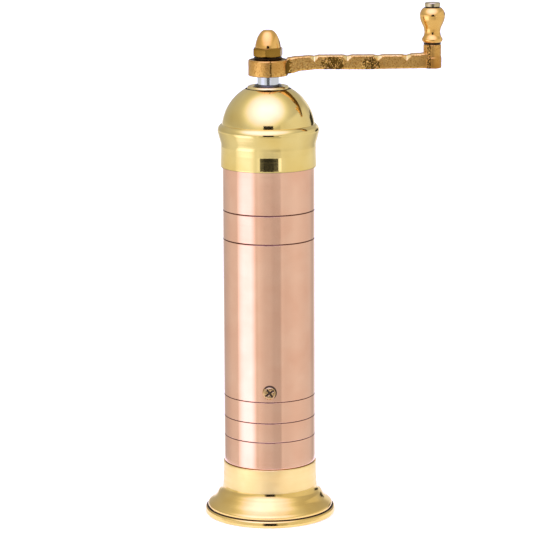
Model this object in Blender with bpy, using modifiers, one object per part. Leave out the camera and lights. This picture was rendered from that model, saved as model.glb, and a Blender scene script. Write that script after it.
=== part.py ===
"""Pepper mill: a copper tube on a flared brass foot, a lift-off brass dome, and a brass crank that
turns conical burrs on a steel spindle. Metres, +Z up. The foot stands on z = 0, and the world's
origin is below the middle of the mill's whole outline, crank included."""

import math

import bmesh
import bpy
from mathutils import Matrix, Vector

MM = 0.001

# Clearances
FIT = 0.3 * MM  # between any two pieces that touch or slide
WELD = 0.02 * MM  # merge distance of turned profiles

# Facets round a turned piece
FINE = 36
MEDIUM = 24
COARSE = 12

# Tube
TUBE_R = 21.0 * MM
TUBE_WALL = 1.0 * MM
TUBE_LENGTH = 154.7 * MM
GROOVE_DEPTH = 0.35 * MM
GROOVE_WIDTH = 1.0 * MM
LOW_GROOVES = (12.6 * MM, 21.7 * MM, 31.6 * MM)  # above the tube's lower edge
HIGH_GROOVES = (36.9 * MM, 50.1 * MM)  # below the tube's upper edge

# Foot
FOOT_R = 30.3 * MM
FOOT_H = 25.0 * MM  # up to the shoulder that carries the tube
FOOT_WALL = 1.5 * MM
NECK_PROUD = 0.6 * MM  # how far the neck stands out from the tube
BEAD_H = 3.2 * MM
BEAD_W = 1.7 * MM
RIM_W = 1.9 * MM  # the flat ring under the bead that the mill stands on
FLARE_TOP = 14.0 * MM
SPIGOT_H = 8.0 * MM  # the part of the foot inside the tube
SPIGOT_WALL = 0.9 * MM

# Lid
SKIRT_WALL = 0.55 * MM
SKIRT_DEPTH = 17.5 * MM  # from the ledge that rests on the tube down to the skirt's edge
SKIRT_STRAIGHT = 9.0 * MM
LIP_PROUD = 1.35 * MM  # the lip beyond the skirt
LID_WALL = 0.7 * MM
LEDGE_T = 1.0 * MM
DOME_DROP = 0.5 * MM  # the dome's centre below the ledge
COLLAR_RIM = 3.2 * MM
COLLAR_H = 1.9 * MM
CROWN_T = 3.1 * MM  # from the collar's top down to the flat inside the dome
BUSH_WALL = 1.5 * MM
BUSH_FLANGE = 2.6 * MM
BUSH_FLANGE_T = 1.8 * MM
BUSH_PROUD = 0.3 * MM

# Spindle
SPINDLE_R = 3.0 * MM
JOURNAL_STEP = 1.9 * MM  # how much thicker the spindle is where it turns in the lid
JOURNAL_BELOW = 12.5 * MM  # from the collar's top down to the journal's lower end
JOURNAL_ABOVE = 3.8 * MM
SQUARE = 6.0 * MM
THREAD_R = 2.5 * MM
THREAD_LENGTH = 9.6 * MM

# Crank
CRANK_REACH = 74.2 * MM
BOSS_R = 9.0 * MM
BOSS_H = 6.8 * MM
ARM_T = 6.5 * MM
ARM_NUT_GAP = 0.5 * MM  # from the nut's corners to the arm's end on the boss
ARM_UNDER = 2.6 * MM  # the arm's underside above the boss's
ARM_H = 6.6 * MM
SCALLOP_RISE = 0.5 * MM
SCALLOP_ENDS = (0.0, 0.176, 0.424, 0.648, 0.859, 1.0)  # along the arm from nut to post
LUG_R = 4.2 * MM
LUG_H = 5.6 * MM
POST_R = 3.85 * MM
POST_H = 11.0 * MM
PIN_R = 1.75 * MM
PIN_DEPTH = 7.0 * MM
PIN_HEAD_R = 3.5 * MM
PIN_HEAD_H = 2.0 * MM

# Knob
KNOB_R = 5.75 * MM
KNOB_H = 15.6 * MM
KNOB_BASE_R = 4.8 * MM
KNOB_WAIST_R = 3.7 * MM
KNOB_TOP_R = 3.9 * MM
KNOB_WASHER_T = 0.4 * MM

# Nut and washer on the crank
WASHER_T = 1.0 * MM
NUT_FLATS = 12.3 * MM
NUT_HEX_H = 4.2 * MM
NUT_DOME_STEP = 0.25 * MM  # the dome's and the washer's edge inside the flats
NUT_DOME_H = 7.8 * MM

# Grinding gear
HOUSING_ABOVE = 13.0 * MM  # the housing's lower face above the foot's spigot
HOUSING_WALL = 4.7 * MM
HOUSING_LEDGE = 2.0 * MM
HOUSING_H = 26.0 * MM
HOUSING_NECK = 3.0 * MM
FUNNEL_EDGE = 1.1 * MM
BURR_H = 16.4 * MM
BURR_WALL_TOP = 4.5 * MM
BURR_WALL_BOTTOM = 1.8 * MM
GRIND_GAP = 0.85 * MM
TOOTH_DEPTH = 0.8 * MM
OUTER_TEETH = 18
INNER_TEETH = 15
BURR_LIFT = 1.2 * MM  # the inner burr's lower face above the outer burr's
BURR_TOP_DROP = 0.7 * MM  # the inner burr's top below the outer burr's
BURR_RECESS_H = 5.1 * MM
CLIP_W = 2.2 * MM
CLIP_CLEAR = 1.5 * MM  # from the clip's edge to the recess it sits in
CLIP_T = 0.8 * MM
CLIP_TAIL = 1.0 * MM  # the spindle's end below the clip
CUP_W = 3.2 * MM
CUP_T = 1.0 * MM
SPRING_GAP = 1.15 * MM  # from the spindle to the spring's wire
SPRING_WIRE_R = 0.55 * MM
SPRING_TURNS = 4
GUIDE_RING_W = 1.8 * MM
GUIDE_H = 4.0 * MM
GUIDE_HUB_W = 2.9 * MM
GUIDE_HUB_H = 8.0 * MM
GUIDE_ARM_W = 3.0 * MM
GUIDE_ARMS = 3

# Bridge and grind adjuster below the burrs
BRIDGE_T = 5.0 * MM
BRIDGE_W = 9.0 * MM
BRIDGE_SCREW_R = 1.25 * MM
BRIDGE_SCREW_HEAD_R = 2.2 * MM
BRIDGE_SCREW_HEAD_H = 1.8 * MM
BRIDGE_SCREW_BITE = 6.0 * MM
BALL_R = 2.4 * MM
ADJUSTER_R = 2.5 * MM
ADJUSTER_LENGTH = 15.0 * MM
ADJUSTER_KNOB_R = 7.5 * MM
ADJUSTER_KNOB_H = 5.5 * MM
KNURLS = 12
KNURL_R = 0.9 * MM
LOCK_NUT_FLATS = 8.0 * MM
LOCK_NUT_H = 3.6 * MM

# Side screws
SIDE_SCREW_UP = 15.6 * MM  # above the housing's lower face
SIDE_SCREW_COUNT = 3
SIDE_SCREW_R = 1.5 * MM
SIDE_SCREW_HEAD_R = 3.3 * MM
SIDE_SCREW_HEAD_H = 1.5 * MM
SIDE_SCREW_BITE = 3.2 * MM
SLOT_W = 0.7 * MM
SLOT_DEPTH = 0.6 * MM

# What follows from the sizes above
TUBE_BORE_R = TUBE_R - TUBE_WALL
TUBE_Z = FOOT_H + FIT
TUBE_TOP = TUBE_Z + TUBE_LENGTH
NECK_R = TUBE_R + NECK_PROUD
INSIDE_R = TUBE_BORE_R - FIT  # what fits inside the tube
SKIRT_BORE_R = TUBE_R + FIT
SKIRT_R = SKIRT_BORE_R + SKIRT_WALL
LEDGE_Z = TUBE_TOP + FIT
DOME_Z = LEDGE_Z - DOME_DROP
DOME_R = TUBE_R + FIT
DOME_BORE_R = DOME_R - LID_WALL
JOURNAL_R = SPINDLE_R + JOURNAL_STEP
COLLAR_HOLE_R = JOURNAL_R + FIT + BUSH_WALL + FIT
COLLAR_R = COLLAR_HOLE_R + COLLAR_RIM
COLLAR_FOOT_Z = DOME_Z + math.sqrt(DOME_R**2 - COLLAR_R**2)
COLLAR_TOP = COLLAR_FOOT_Z + COLLAR_H
CROWN_Z = COLLAR_TOP - CROWN_T
JOURNAL_TOP = COLLAR_TOP + JOURNAL_ABOVE
BOSS_Z = JOURNAL_TOP + FIT
BOSS_TOP = BOSS_Z + BOSS_H
WASHER_Z = BOSS_TOP + FIT
NUT_Z = WASHER_Z + WASHER_T + FIT
THREAD_TOP = BOSS_TOP + THREAD_LENGTH
ARM_Z = BOSS_Z + ARM_UNDER
POST_TOP = ARM_Z + POST_H
KNOB_WASHER_Z = POST_TOP + FIT
KNOB_Z = KNOB_WASHER_Z + KNOB_WASHER_T + FIT
KNOB_TOP = KNOB_Z + KNOB_H
PIN_HEAD_Z = KNOB_TOP + FIT
NUT_DOME_R = NUT_FLATS / 2 - NUT_DOME_STEP
WASHER_R = NUT_DOME_R
HOUSING_Z = FOOT_H + SPIGOT_H + HOUSING_ABOVE
SIDE_SCREW_Z = HOUSING_Z + SIDE_SCREW_UP
BURR_SEAT_R = INSIDE_R - HOUSING_WALL
BURR_R = BURR_SEAT_R - FIT
BURR_CONE_TOP = BURR_R - BURR_WALL_TOP
BURR_CONE_BOTTOM = BURR_R - BURR_WALL_BOTTOM
INNER_BURR_Z = HOUSING_Z + FIT + BURR_LIFT
INNER_BURR_H = BURR_H - BURR_LIFT - BURR_TOP_DROP
BORE_R = SPINDLE_R + FIT
CLIP_R = BORE_R + CLIP_W
BURR_RECESS_R = CLIP_R + CLIP_CLEAR
CUP_R = BORE_R + CUP_W
SPRING_R = SPINDLE_R + SPRING_GAP + SPRING_WIRE_R
GUIDE_HUB_R = BORE_R + GUIDE_HUB_W
SPINDLE_Z = INNER_BURR_Z + BURR_RECESS_H - FIT - CLIP_T - CLIP_TAIL
BALL_Z = SPINDLE_Z - FIT - BALL_R
ADJUSTER_TOP = BALL_Z - BALL_R - FIT
ADJUSTER_KNOB_TOP = ADJUSTER_TOP - ADJUSTER_LENGTH
BRIDGE_TOP = HOUSING_Z - FIT
BRIDGE_Z = BRIDGE_TOP - BRIDGE_T
BRIDGE_SCREW_X = (BURR_SEAT_R + INSIDE_R) / 2
CUP_Z = INNER_BURR_Z + INNER_BURR_H + FIT
GUIDE_Z = HOUSING_Z + HOUSING_H + FIT
AXIS_X = -(CRANK_REACH + KNOB_R - FOOT_R) / 2


def clear_scene():
    for item in list(bpy.data.objects):
        bpy.data.objects.remove(item, do_unlink=True)


clear_scene()
PARTS = bpy.data.collections.new("pepper_mill")
CUTTERS = bpy.data.collections.new("pepper_mill_cutters")
bpy.context.scene.collection.children.link(PARTS)
bpy.context.scene.collection.children.link(CUTTERS)


# ---------------------------------------------------------------- materials


def finish(name, colour, metallic, roughness):
    """A Principled material with this base colour."""
    material = bpy.data.materials.new(name)
    material.use_nodes = True
    shader = material.node_tree.nodes["Principled BSDF"]
    shader.inputs["Base Color"].default_value = (*colour, 1.0)
    shader.inputs["Metallic"].default_value = metallic
    shader.inputs["Roughness"].default_value = roughness
    material.diffuse_color = (*colour, 1.0)
    return material


PALE_BRASS = finish("pale_brass", (0.79, 0.66, 0.30), 1.0, 0.12)
GOLD_BRASS = finish("gold_brass", (0.84, 0.62, 0.25), 1.0, 0.14)
CAST_BRASS = finish("cast_brass", (0.60, 0.40, 0.13), 1.0, 0.38)
RED_BRASS = finish("red_brass", (0.80, 0.52, 0.20), 1.0, 0.16)
COPPER = finish("copper", (0.80, 0.47, 0.34), 1.0, 0.12)
BRIGHT_STEEL = finish("bright_steel", (0.72, 0.72, 0.73), 1.0, 0.15)
DARK_STEEL = finish("dark_steel", (0.20, 0.19, 0.18), 1.0, 0.35)
BURR_STEEL = finish("burr_steel", (0.34, 0.34, 0.35), 1.0, 0.45)
HOUSING_METAL = finish("housing_metal", (0.62, 0.62, 0.63), 1.0, 0.40)


# ---------------------------------------------------------------- modelling helpers


def axis_empty(name, x, z, parent=None):
    """An empty on a joint's axis, which carries the pieces that turn or slide on it."""
    empty = bpy.data.objects.new(name, None)
    empty.location = (x, 0.0, z)
    empty.parent = parent
    PARTS.objects.link(empty)
    return empty


def place(name, mesh, material, parent, location=(0.0, 0.0, 0.0), rotation=(0.0, 0.0, 0.0)):
    """A named piece in the parts collection."""
    piece = bpy.data.objects.new(name, mesh)
    piece.location = location
    piece.rotation_euler = rotation
    piece.parent = parent
    if material is not None:
        mesh.materials.append(material)
    PARTS.objects.link(piece)
    return piece


def make_cutter(piece):
    """Moves a helper solid out of the parts and hides it."""
    PARTS.objects.unlink(piece)
    CUTTERS.objects.link(piece)
    piece.hide_render = True
    piece.display_type = "WIRE"
    return piece


def combine(piece, other, operation):
    """A Boolean of the piece with a helper solid."""
    boolean = piece.modifiers.new(f"{operation.lower()}_{other.name}", "BOOLEAN")
    boolean.operation = operation
    boolean.object = other
    boolean.solver = "EXACT"


def round_edges(piece, width, segments=2, angle=40.0):
    bevel = piece.modifiers.new("rounded_edges", "BEVEL")
    bevel.width = width
    bevel.segments = segments
    bevel.limit_method = "ANGLE"
    bevel.angle_limit = math.radians(angle)


def turned(name, outline, material, parent, location=(0.0, 0.0, 0.0), steps=FINE, ring=True):
    """A turned piece. The outline is (radius, height) points down the outer side; a ring closes
    on itself up its bore, and any other outline starts and ends on the axis."""
    mesh = bpy.data.meshes.new(name)
    points = [(radius, 0.0, height) for radius, height in outline]
    edges = [(i, i + 1) for i in range(len(points) - 1)]
    if ring:
        edges.append((len(points) - 1, 0))
    mesh.from_pydata(points, edges, [])
    piece = place(name, mesh, material, parent, location)
    screw = piece.modifiers.new("turn", "SCREW")
    screw.steps = steps
    screw.render_steps = steps
    screw.use_merge_vertices = True
    screw.merge_threshold = WELD
    return piece


def arc(centre_r, centre_z, radius, start, end, steps):
    """Points on an arc of an outline; degrees, 0 is outward and 90 is up."""
    angles = [math.radians(start + (end - start) * i / steps) for i in range(steps + 1)]
    return [(centre_r + radius * math.cos(a), centre_z + radius * math.sin(a)) for a in angles]


def smooth_line(points, per_span):
    """A Catmull-Rom curve through (radius, height) points."""
    padded = [points[0], *points, points[-1]]
    line = [points[0]]
    for a, b, c, d in zip(padded, padded[1:], padded[2:], padded[3:]):
        for step in range(1, per_span + 1):
            t = step / per_span
            line.append(
                tuple(
                    0.5
                    * (
                        2 * q
                        + (r - p) * t
                        + (2 * p - 5 * q + 4 * r - s) * t * t
                        + (3 * q - p - 3 * r + s) * t**3
                    )
                    for p, q, r, s in zip(a, b, c, d)
                )
            )
    return line


def solid_mesh(name, build):
    """A mesh filled by a function that works on a bmesh."""
    mesh = bpy.data.meshes.new(name)
    work = bmesh.new()
    build(work)
    work.to_mesh(mesh)
    work.free()
    return mesh


def rod(name, radius, low, high, material, parent, location=(0.0, 0.0, 0.0), steps=COARSE,
        rotation=(0.0, 0.0, 0.0)):
    """A plain cylinder, or a prism with few steps, between two heights."""

    def build(work):
        bmesh.ops.create_cone(
            work, cap_ends=True, segments=steps, radius1=radius, radius2=radius,
            depth=high - low, matrix=Matrix.Translation((0.0, 0.0, (low + high) / 2)),
        )

    return place(name, solid_mesh(name, build), material, parent, location, rotation)


def block(name, low, high, material, parent):
    """A box between two corners."""

    def build(work):
        size = Vector(high) - Vector(low)
        middle = (Vector(high) + Vector(low)) / 2
        shape = Matrix.Translation(middle) @ Matrix.Diagonal((*size, 1.0))
        bmesh.ops.create_cube(work, size=1.0, matrix=shape)

    return place(name, solid_mesh(name, build), material, parent)


def hexagon_r(flats):
    """Corner radius of a hexagon of this width across flats."""
    return flats / math.sqrt(3.0)


def shade(piece, angle=35.0):
    """Smooth shading with sharp edges kept; turned pieces get theirs from the Screw modifier."""
    if piece.data.polygons:
        piece.data.shade_smooth()
        piece.data.set_sharp_from_angle(angle=math.radians(angle))


# ---------------------------------------------------------------- foot and tube


def build_foot(axis):
    span_r = FOOT_R - NECK_R
    span_z = FLARE_TOP - BEAD_H
    flare_shape = (
        (0.03, 1.00), (0.07, 0.89), (0.17, 0.77), (0.28, 0.655), (0.345, 0.545),
        (0.425, 0.436), (0.55, 0.327), (0.70, 0.21), (0.81, 0.08),
    )
    flare = [(NECK_R + span_r * u, BEAD_H + span_z * v) for u, v in flare_shape]
    bead_middle = FOOT_R - BEAD_W
    bead = [(FOOT_R - BEAD_W * 0.95, BEAD_H * 0.97)]
    bead += arc(bead_middle, BEAD_H / 2, BEAD_W, 58.0, -52.0, 5)
    outer = [(NECK_R, FOOT_H), (NECK_R, FLARE_TOP + 4.0 * MM)] + flare + bead
    outer.append((FOOT_R - BEAD_W, 0.0))
    rim_bore = FOOT_R - BEAD_W - RIM_W
    inner = [(rim_bore, 0.0), (rim_bore - 0.5 * MM, BEAD_H)]
    inner += [(r - FOOT_WALL, z - FOOT_WALL / 2) for r, z in reversed(flare[2:8:2])]
    spigot_bore = INSIDE_R - SPIGOT_WALL
    inner += [(spigot_bore, FLARE_TOP), (spigot_bore, FOOT_H + SPIGOT_H)]
    spigot = [(INSIDE_R, FOOT_H + SPIGOT_H), (INSIDE_R, FOOT_H)]
    turned("foot_base", spigot + outer + inner, GOLD_BRASS, axis)


def build_tube(axis, screw_cutters):
    grooves = [TUBE_Z + h for h in LOW_GROOVES] + [TUBE_TOP - h for h in HIGH_GROOVES]
    outer = [(TUBE_R, TUBE_TOP)]
    for height in sorted(grooves, reverse=True):
        outer += [
            (TUBE_R, height + GROOVE_WIDTH / 2),
            (TUBE_R - GROOVE_DEPTH, height),
            (TUBE_R, height - GROOVE_WIDTH / 2),
        ]
    outer.append((TUBE_R, TUBE_Z))
    bore = [(TUBE_BORE_R, TUBE_Z), (TUBE_BORE_R, TUBE_TOP)]
    tube = turned("body_tube", outer + bore, COPPER, axis)
    for cutter in screw_cutters:
        combine(tube, cutter, "DIFFERENCE")


def side_directions():
    """Angles about the mill's axis at which the side screws stand; the first faces -Y."""
    return [-math.pi / 2 + 2 * math.pi * i / SIDE_SCREW_COUNT for i in range(SIDE_SCREW_COUNT)]


def side_screw_cutters(axis):
    cutters = []
    for index, angle in enumerate(side_directions(), start=1):
        cutter = rod(
            f"side_hole_{index}", SIDE_SCREW_R + FIT, TUBE_R - TUBE_WALL - SIDE_SCREW_BITE - 2 * MM,
            TUBE_R + 3 * MM, None, axis, (0.0, 0.0, SIDE_SCREW_Z), COARSE,
            (0.0, math.pi / 2, angle),
        )
        cutters.append(make_cutter(cutter))
    return cutters


def build_side_screws(axis):
    """Button-headed screws through the tube into the grinder's housing."""
    slot = block(
        "side_screw_slot", (-SLOT_W / 2, -2 * SIDE_SCREW_HEAD_R, SIDE_SCREW_HEAD_H - SLOT_DEPTH),
        (SLOT_W / 2, 2 * SIDE_SCREW_HEAD_R, 2 * SIDE_SCREW_HEAD_H), None, None,
    )
    make_cutter(slot)
    shank = TUBE_WALL + FIT + SIDE_SCREW_BITE
    outline = [(0.0, SIDE_SCREW_HEAD_H)]
    outline += [(SIDE_SCREW_HEAD_R * 0.55, SIDE_SCREW_HEAD_H * 0.93)]
    outline += [(SIDE_SCREW_HEAD_R * 0.85, SIDE_SCREW_HEAD_H * 0.70)]
    outline += [(SIDE_SCREW_HEAD_R, SIDE_SCREW_HEAD_H * 0.35), (SIDE_SCREW_HEAD_R, 0.0)]
    outline += [(SIDE_SCREW_R, 0.0), (SIDE_SCREW_R, -shank), (0.0, -shank)]
    for index, angle in enumerate(side_directions(), start=1):
        seat = TUBE_R + FIT
        where = (seat * math.cos(angle), seat * math.sin(angle), SIDE_SCREW_Z)
        screw = turned(
            f"side_screw_{index}", outline, GOLD_BRASS, axis, where, COARSE, ring=False
        )
        screw.rotation_euler = (0.0, math.pi / 2, angle)
        own_slot = slot.copy()
        own_slot.name = f"side_screw_slot_{index}"
        own_slot.parent = screw
        CUTTERS.objects.link(own_slot)
        combine(screw, own_slot, "DIFFERENCE")
    bpy.data.objects.remove(slot, do_unlink=True)


# ---------------------------------------------------------------- lid


def build_lid(axis):
    collar_edge = 0.8 * MM
    outer = [(COLLAR_HOLE_R, COLLAR_TOP)]
    outer += arc(COLLAR_R - collar_edge, COLLAR_TOP - collar_edge, collar_edge, 90.0, -60.0, 4)
    outer.append((COLLAR_R - 0.5 * MM, COLLAR_FOOT_Z + 0.3 * MM))
    start = math.degrees(math.acos(COLLAR_R / DOME_R))
    lip_top = LEDGE_Z + LEDGE_T
    end = math.degrees(math.asin((lip_top + 0.2 * MM - DOME_Z) / DOME_R))
    outer += arc(0.0, DOME_Z, DOME_R, start, end, 7)
    lip_r = SKIRT_R + LIP_PROUD
    skirt_edge = LEDGE_Z - SKIRT_DEPTH
    outer += [(lip_r - 0.6 * MM, lip_top), (lip_r - 0.1 * MM, lip_top - 0.6 * MM)]
    outer += [(lip_r, lip_top - 2.0 * MM)]
    flare_low = skirt_edge + SKIRT_STRAIGHT
    flare_high = lip_top - 3.2 * MM
    for u, v in ((0.87, 1.0), (0.50, 0.72), (0.20, 0.42), (0.03, 0.12)):
        outer.append((SKIRT_R + LIP_PROUD * u, flare_low + (flare_high - flare_low) * v))
    outer.append((SKIRT_R, skirt_edge))
    inner = [(SKIRT_BORE_R, skirt_edge), (SKIRT_BORE_R, flare_low + 1.5 * MM)]
    inner += [(lip_r - 0.9 * MM, LEDGE_Z - 1.8 * MM), (lip_r - 1.1 * MM, LEDGE_Z)]
    inner_end = math.degrees(math.asin((CROWN_Z - DOME_Z) / DOME_BORE_R))
    inner_start = math.degrees(math.asin(DOME_DROP / DOME_BORE_R))
    inner += arc(0.0, DOME_Z, DOME_BORE_R, inner_start, inner_end, 6)
    inner.append((COLLAR_HOLE_R, CROWN_Z))
    turned("lid_dome", outer + inner, PALE_BRASS, axis)

    sleeve_r = COLLAR_HOLE_R - FIT
    bore = JOURNAL_R + FIT
    flange_top = CROWN_Z - FIT
    top = COLLAR_TOP + BUSH_PROUD
    outline = [(sleeve_r, top), (sleeve_r, flange_top), (sleeve_r + BUSH_FLANGE, flange_top)]
    outline += [(sleeve_r + BUSH_FLANGE, flange_top - BUSH_FLANGE_T)]
    outline += [(bore, flange_top - BUSH_FLANGE_T), (bore, top)]
    turned("lid_bush", outline, DARK_STEEL, axis, steps=MEDIUM)


# ---------------------------------------------------------------- spindle and grinding gear


def build_spindle(axis):
    journal_low = COLLAR_TOP - JOURNAL_BELOW
    tip = 0.6 * MM
    outline = [(0.0, THREAD_TOP), (THREAD_R - tip, THREAD_TOP), (THREAD_R, THREAD_TOP - tip)]
    outline += [(THREAD_R, JOURNAL_TOP), (JOURNAL_R, JOURNAL_TOP), (JOURNAL_R, journal_low)]
    outline += [(SPINDLE_R, journal_low - (JOURNAL_R - SPINDLE_R)), (SPINDLE_R, SPINDLE_Z)]
    outline.append((0.0, SPINDLE_Z))
    spindle = turned("spindle", outline, BRIGHT_STEEL, axis, steps=MEDIUM, ring=False)
    square = block(
        "spindle_square", (-SQUARE / 2, -SQUARE / 2, JOURNAL_TOP - 1.0 * MM),
        (SQUARE / 2, SQUARE / 2, BOSS_TOP - 0.3 * MM), None, axis,
    )
    combine(spindle, make_cutter(square), "UNION")


def tooth_cutters(name, axis, count, top_r, bottom_r, low, high):
    """Triangular prisms along a cone's slope, one for each groove between teeth."""
    slope = math.atan2(bottom_r - top_r, high - low)
    length = (high - low) / math.cos(slope) + 4.0 * MM
    middle_r = (top_r + bottom_r) / 2

    def build(work):
        for index in range(count):
            turn = Matrix.Rotation(2 * math.pi * index / count, 4, "Z")
            out = Matrix.Translation((middle_r, 0.0, (low + high) / 2))
            tilt = Matrix.Rotation(-slope, 4, "Y")
            bmesh.ops.create_cone(
                work, cap_ends=True, segments=4, radius1=TOOTH_DEPTH, radius2=TOOTH_DEPTH,
                depth=length, matrix=turn @ out @ tilt,
            )

    return make_cutter(place(name, solid_mesh(name, build), None, axis))


def build_burrs(axis):
    low = HOUSING_Z + FIT
    high = low + BURR_H
    outline = [(BURR_R, high), (BURR_R, low), (BURR_CONE_BOTTOM, low), (BURR_CONE_TOP, high)]
    outer = turned("outer_burr", outline, BURR_STEEL, axis)
    grooves = tooth_cutters(
        "outer_burr_grooves", axis, OUTER_TEETH, BURR_CONE_TOP, BURR_CONE_BOTTOM, low, high
    )
    combine(outer, grooves, "DIFFERENCE")

    top_r = BURR_CONE_TOP - GRIND_GAP
    bottom_r = BURR_CONE_BOTTOM - GRIND_GAP
    low = INNER_BURR_Z
    high = low + INNER_BURR_H
    web = low + BURR_RECESS_H
    outline = [(top_r, high), (bottom_r, low), (BURR_RECESS_R, low), (BURR_RECESS_R, web)]
    outline += [(BORE_R, web), (BORE_R, high)]
    inner = turned("inner_burr", outline, BURR_STEEL, axis)
    grooves = tooth_cutters("inner_burr_grooves", axis, INNER_TEETH, top_r, bottom_r, low, high)
    combine(inner, grooves, "DIFFERENCE")

    clip_top = web - FIT
    outline = [(CLIP_R, clip_top), (CLIP_R, clip_top - CLIP_T)]
    outline += [(BORE_R, clip_top - CLIP_T), (BORE_R, clip_top)]
    turned("burr_clip", outline, DARK_STEEL, axis, steps=MEDIUM)

    outline = [(CUP_R, CUP_Z + CUP_T), (CUP_R, CUP_Z), (BORE_R, CUP_Z), (BORE_R, CUP_Z + CUP_T)]
    turned("spring_cup", outline, BRIGHT_STEEL, axis, steps=MEDIUM)


def build_housing(axis, screw_cutters):
    top = HOUSING_Z + HOUSING_H
    seat_top = HOUSING_Z + FIT + BURR_H + FIT
    neck_r = BURR_SEAT_R - HOUSING_LEDGE
    outline = [(INSIDE_R, top), (INSIDE_R, HOUSING_Z), (BURR_SEAT_R, HOUSING_Z)]
    outline += [(BURR_SEAT_R, seat_top), (neck_r, seat_top), (neck_r, seat_top + HOUSING_NECK)]
    outline.append((INSIDE_R - FUNNEL_EDGE, top))
    housing = turned("grinder_housing", outline, HOUSING_METAL, axis)
    for cutter in screw_cutters:
        combine(housing, cutter, "DIFFERENCE")
    for cutter in bridge_screw_cutters(axis):
        combine(housing, cutter, "DIFFERENCE")


def build_guide(axis):
    """A ring in the tube with arms to a hub that steadies the spindle above the burrs."""
    top = GUIDE_Z + GUIDE_H
    ring_bore = INSIDE_R - GUIDE_RING_W
    outline = [(INSIDE_R, top), (INSIDE_R, GUIDE_Z), (ring_bore, GUIDE_Z), (ring_bore, top)]
    guide = turned("spindle_guide", outline, HOUSING_METAL, axis)

    def build_arms(work):
        start = BORE_R + 1.0 * MM
        end = ring_bore + GUIDE_RING_W / 2
        low = GUIDE_Z + 0.4 * MM
        high = top - 0.4 * MM
        for index in range(GUIDE_ARMS):
            turn = Matrix.Rotation(2 * math.pi * (index + 0.25) / GUIDE_ARMS, 4, "Z")
            out = Matrix.Translation(((start + end) / 2, 0.0, (low + high) / 2))
            size = Matrix.Diagonal((end - start, GUIDE_ARM_W, high - low, 1.0))
            bmesh.ops.create_cube(work, size=1.0, matrix=turn @ out @ size)

    arms = place("guide_arms", solid_mesh("guide_arms", build_arms), None, axis)
    combine(guide, make_cutter(arms), "UNION")
    hub_top = GUIDE_Z + GUIDE_HUB_H
    outline = [(GUIDE_HUB_R - 1.5 * MM, hub_top), (GUIDE_HUB_R, top), (GUIDE_HUB_R, GUIDE_Z)]
    outline += [(BORE_R, GUIDE_Z), (BORE_R, hub_top)]
    hub = turned("guide_hub", outline, None, axis, steps=MEDIUM)
    combine(guide, make_cutter(hub), "UNION")


def build_spring(axis):
    low = CUP_Z + CUP_T + FIT + SPRING_WIRE_R
    high = GUIDE_Z - FIT - SPRING_WIRE_R
    per_turn = 14
    count = per_turn * SPRING_TURNS + 1
    curve = bpy.data.curves.new("pressure_spring", "CURVE")
    curve.dimensions = "3D"
    curve.bevel_depth = SPRING_WIRE_R
    curve.bevel_resolution = 2
    curve.use_fill_caps = True
    spline = curve.splines.new("POLY")
    spline.points.add(count - 1)
    for index, point in enumerate(spline.points):
        angle = 2 * math.pi * index / per_turn
        height = low + (high - low) * index / (count - 1)
        point.co = (SPRING_R * math.cos(angle), SPRING_R * math.sin(angle), height, 1.0)
    curve.materials.append(BRIGHT_STEEL)
    spring = bpy.data.objects.new("pressure_spring", curve)
    spring.parent = axis
    PARTS.objects.link(spring)


# ---------------------------------------------------------------- bridge and adjuster


def bridge_screw_cutters(axis):
    cutters = []
    for index, side in enumerate((-1, 1), start=1):
        cutter = rod(
            f"bridge_hole_{index}", BRIDGE_SCREW_R + FIT, BRIDGE_Z - 2.0 * MM,
            HOUSING_Z + BRIDGE_SCREW_BITE + 1.0 * MM, None, axis, (side * BRIDGE_SCREW_X, 0.0, 0.0),
        )
        cutters.append(make_cutter(cutter))
    return cutters


def build_bridge(axis):
    """A bar across the tube's bore, rounded to it, tapped in the middle for the adjuster."""
    bar = block(
        "bottom_bridge", (-INSIDE_R - MM, -BRIDGE_W / 2, BRIDGE_Z),
        (INSIDE_R + MM, BRIDGE_W / 2, BRIDGE_TOP), HOUSING_METAL, axis,
    )
    disc = rod(
        "bridge_disc", INSIDE_R - FIT, BRIDGE_Z - MM, BRIDGE_TOP + MM, None, axis, steps=FINE
    )
    combine(bar, make_cutter(disc), "INTERSECT")
    tapped = rod(
        "bridge_tapping", ADJUSTER_R + FIT, BRIDGE_Z - MM, BRIDGE_TOP + MM, None, axis, steps=MEDIUM
    )
    combine(bar, make_cutter(tapped), "DIFFERENCE")
    for cutter in bridge_screw_cutters(axis):
        combine(bar, cutter, "DIFFERENCE")

    head_top = BRIDGE_Z - FIT
    head_low = head_top - BRIDGE_SCREW_HEAD_H
    tip = HOUSING_Z + BRIDGE_SCREW_BITE
    outline = [(0.0, tip), (BRIDGE_SCREW_R, tip), (BRIDGE_SCREW_R, head_top)]
    outline += [(BRIDGE_SCREW_HEAD_R, head_top), (BRIDGE_SCREW_HEAD_R, head_low + 0.5 * MM)]
    outline += [(BRIDGE_SCREW_HEAD_R - 0.6 * MM, head_low), (0.0, head_low)]
    for index, side in enumerate((-1, 1), start=1):
        where = (side * BRIDGE_SCREW_X, 0.0, 0.0)
        screw = turned(
            f"bridge_screw_{index}", outline, BRIGHT_STEEL, axis, where, COARSE, ring=False
        )
        slot = block(
            f"bridge_screw_slot_{index}", (-SLOT_W / 2, -2 * BRIDGE_SCREW_HEAD_R, head_low - MM),
            (SLOT_W / 2, 2 * BRIDGE_SCREW_HEAD_R, head_low + SLOT_DEPTH), None, screw,
        )
        combine(screw, make_cutter(slot), "DIFFERENCE")


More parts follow.
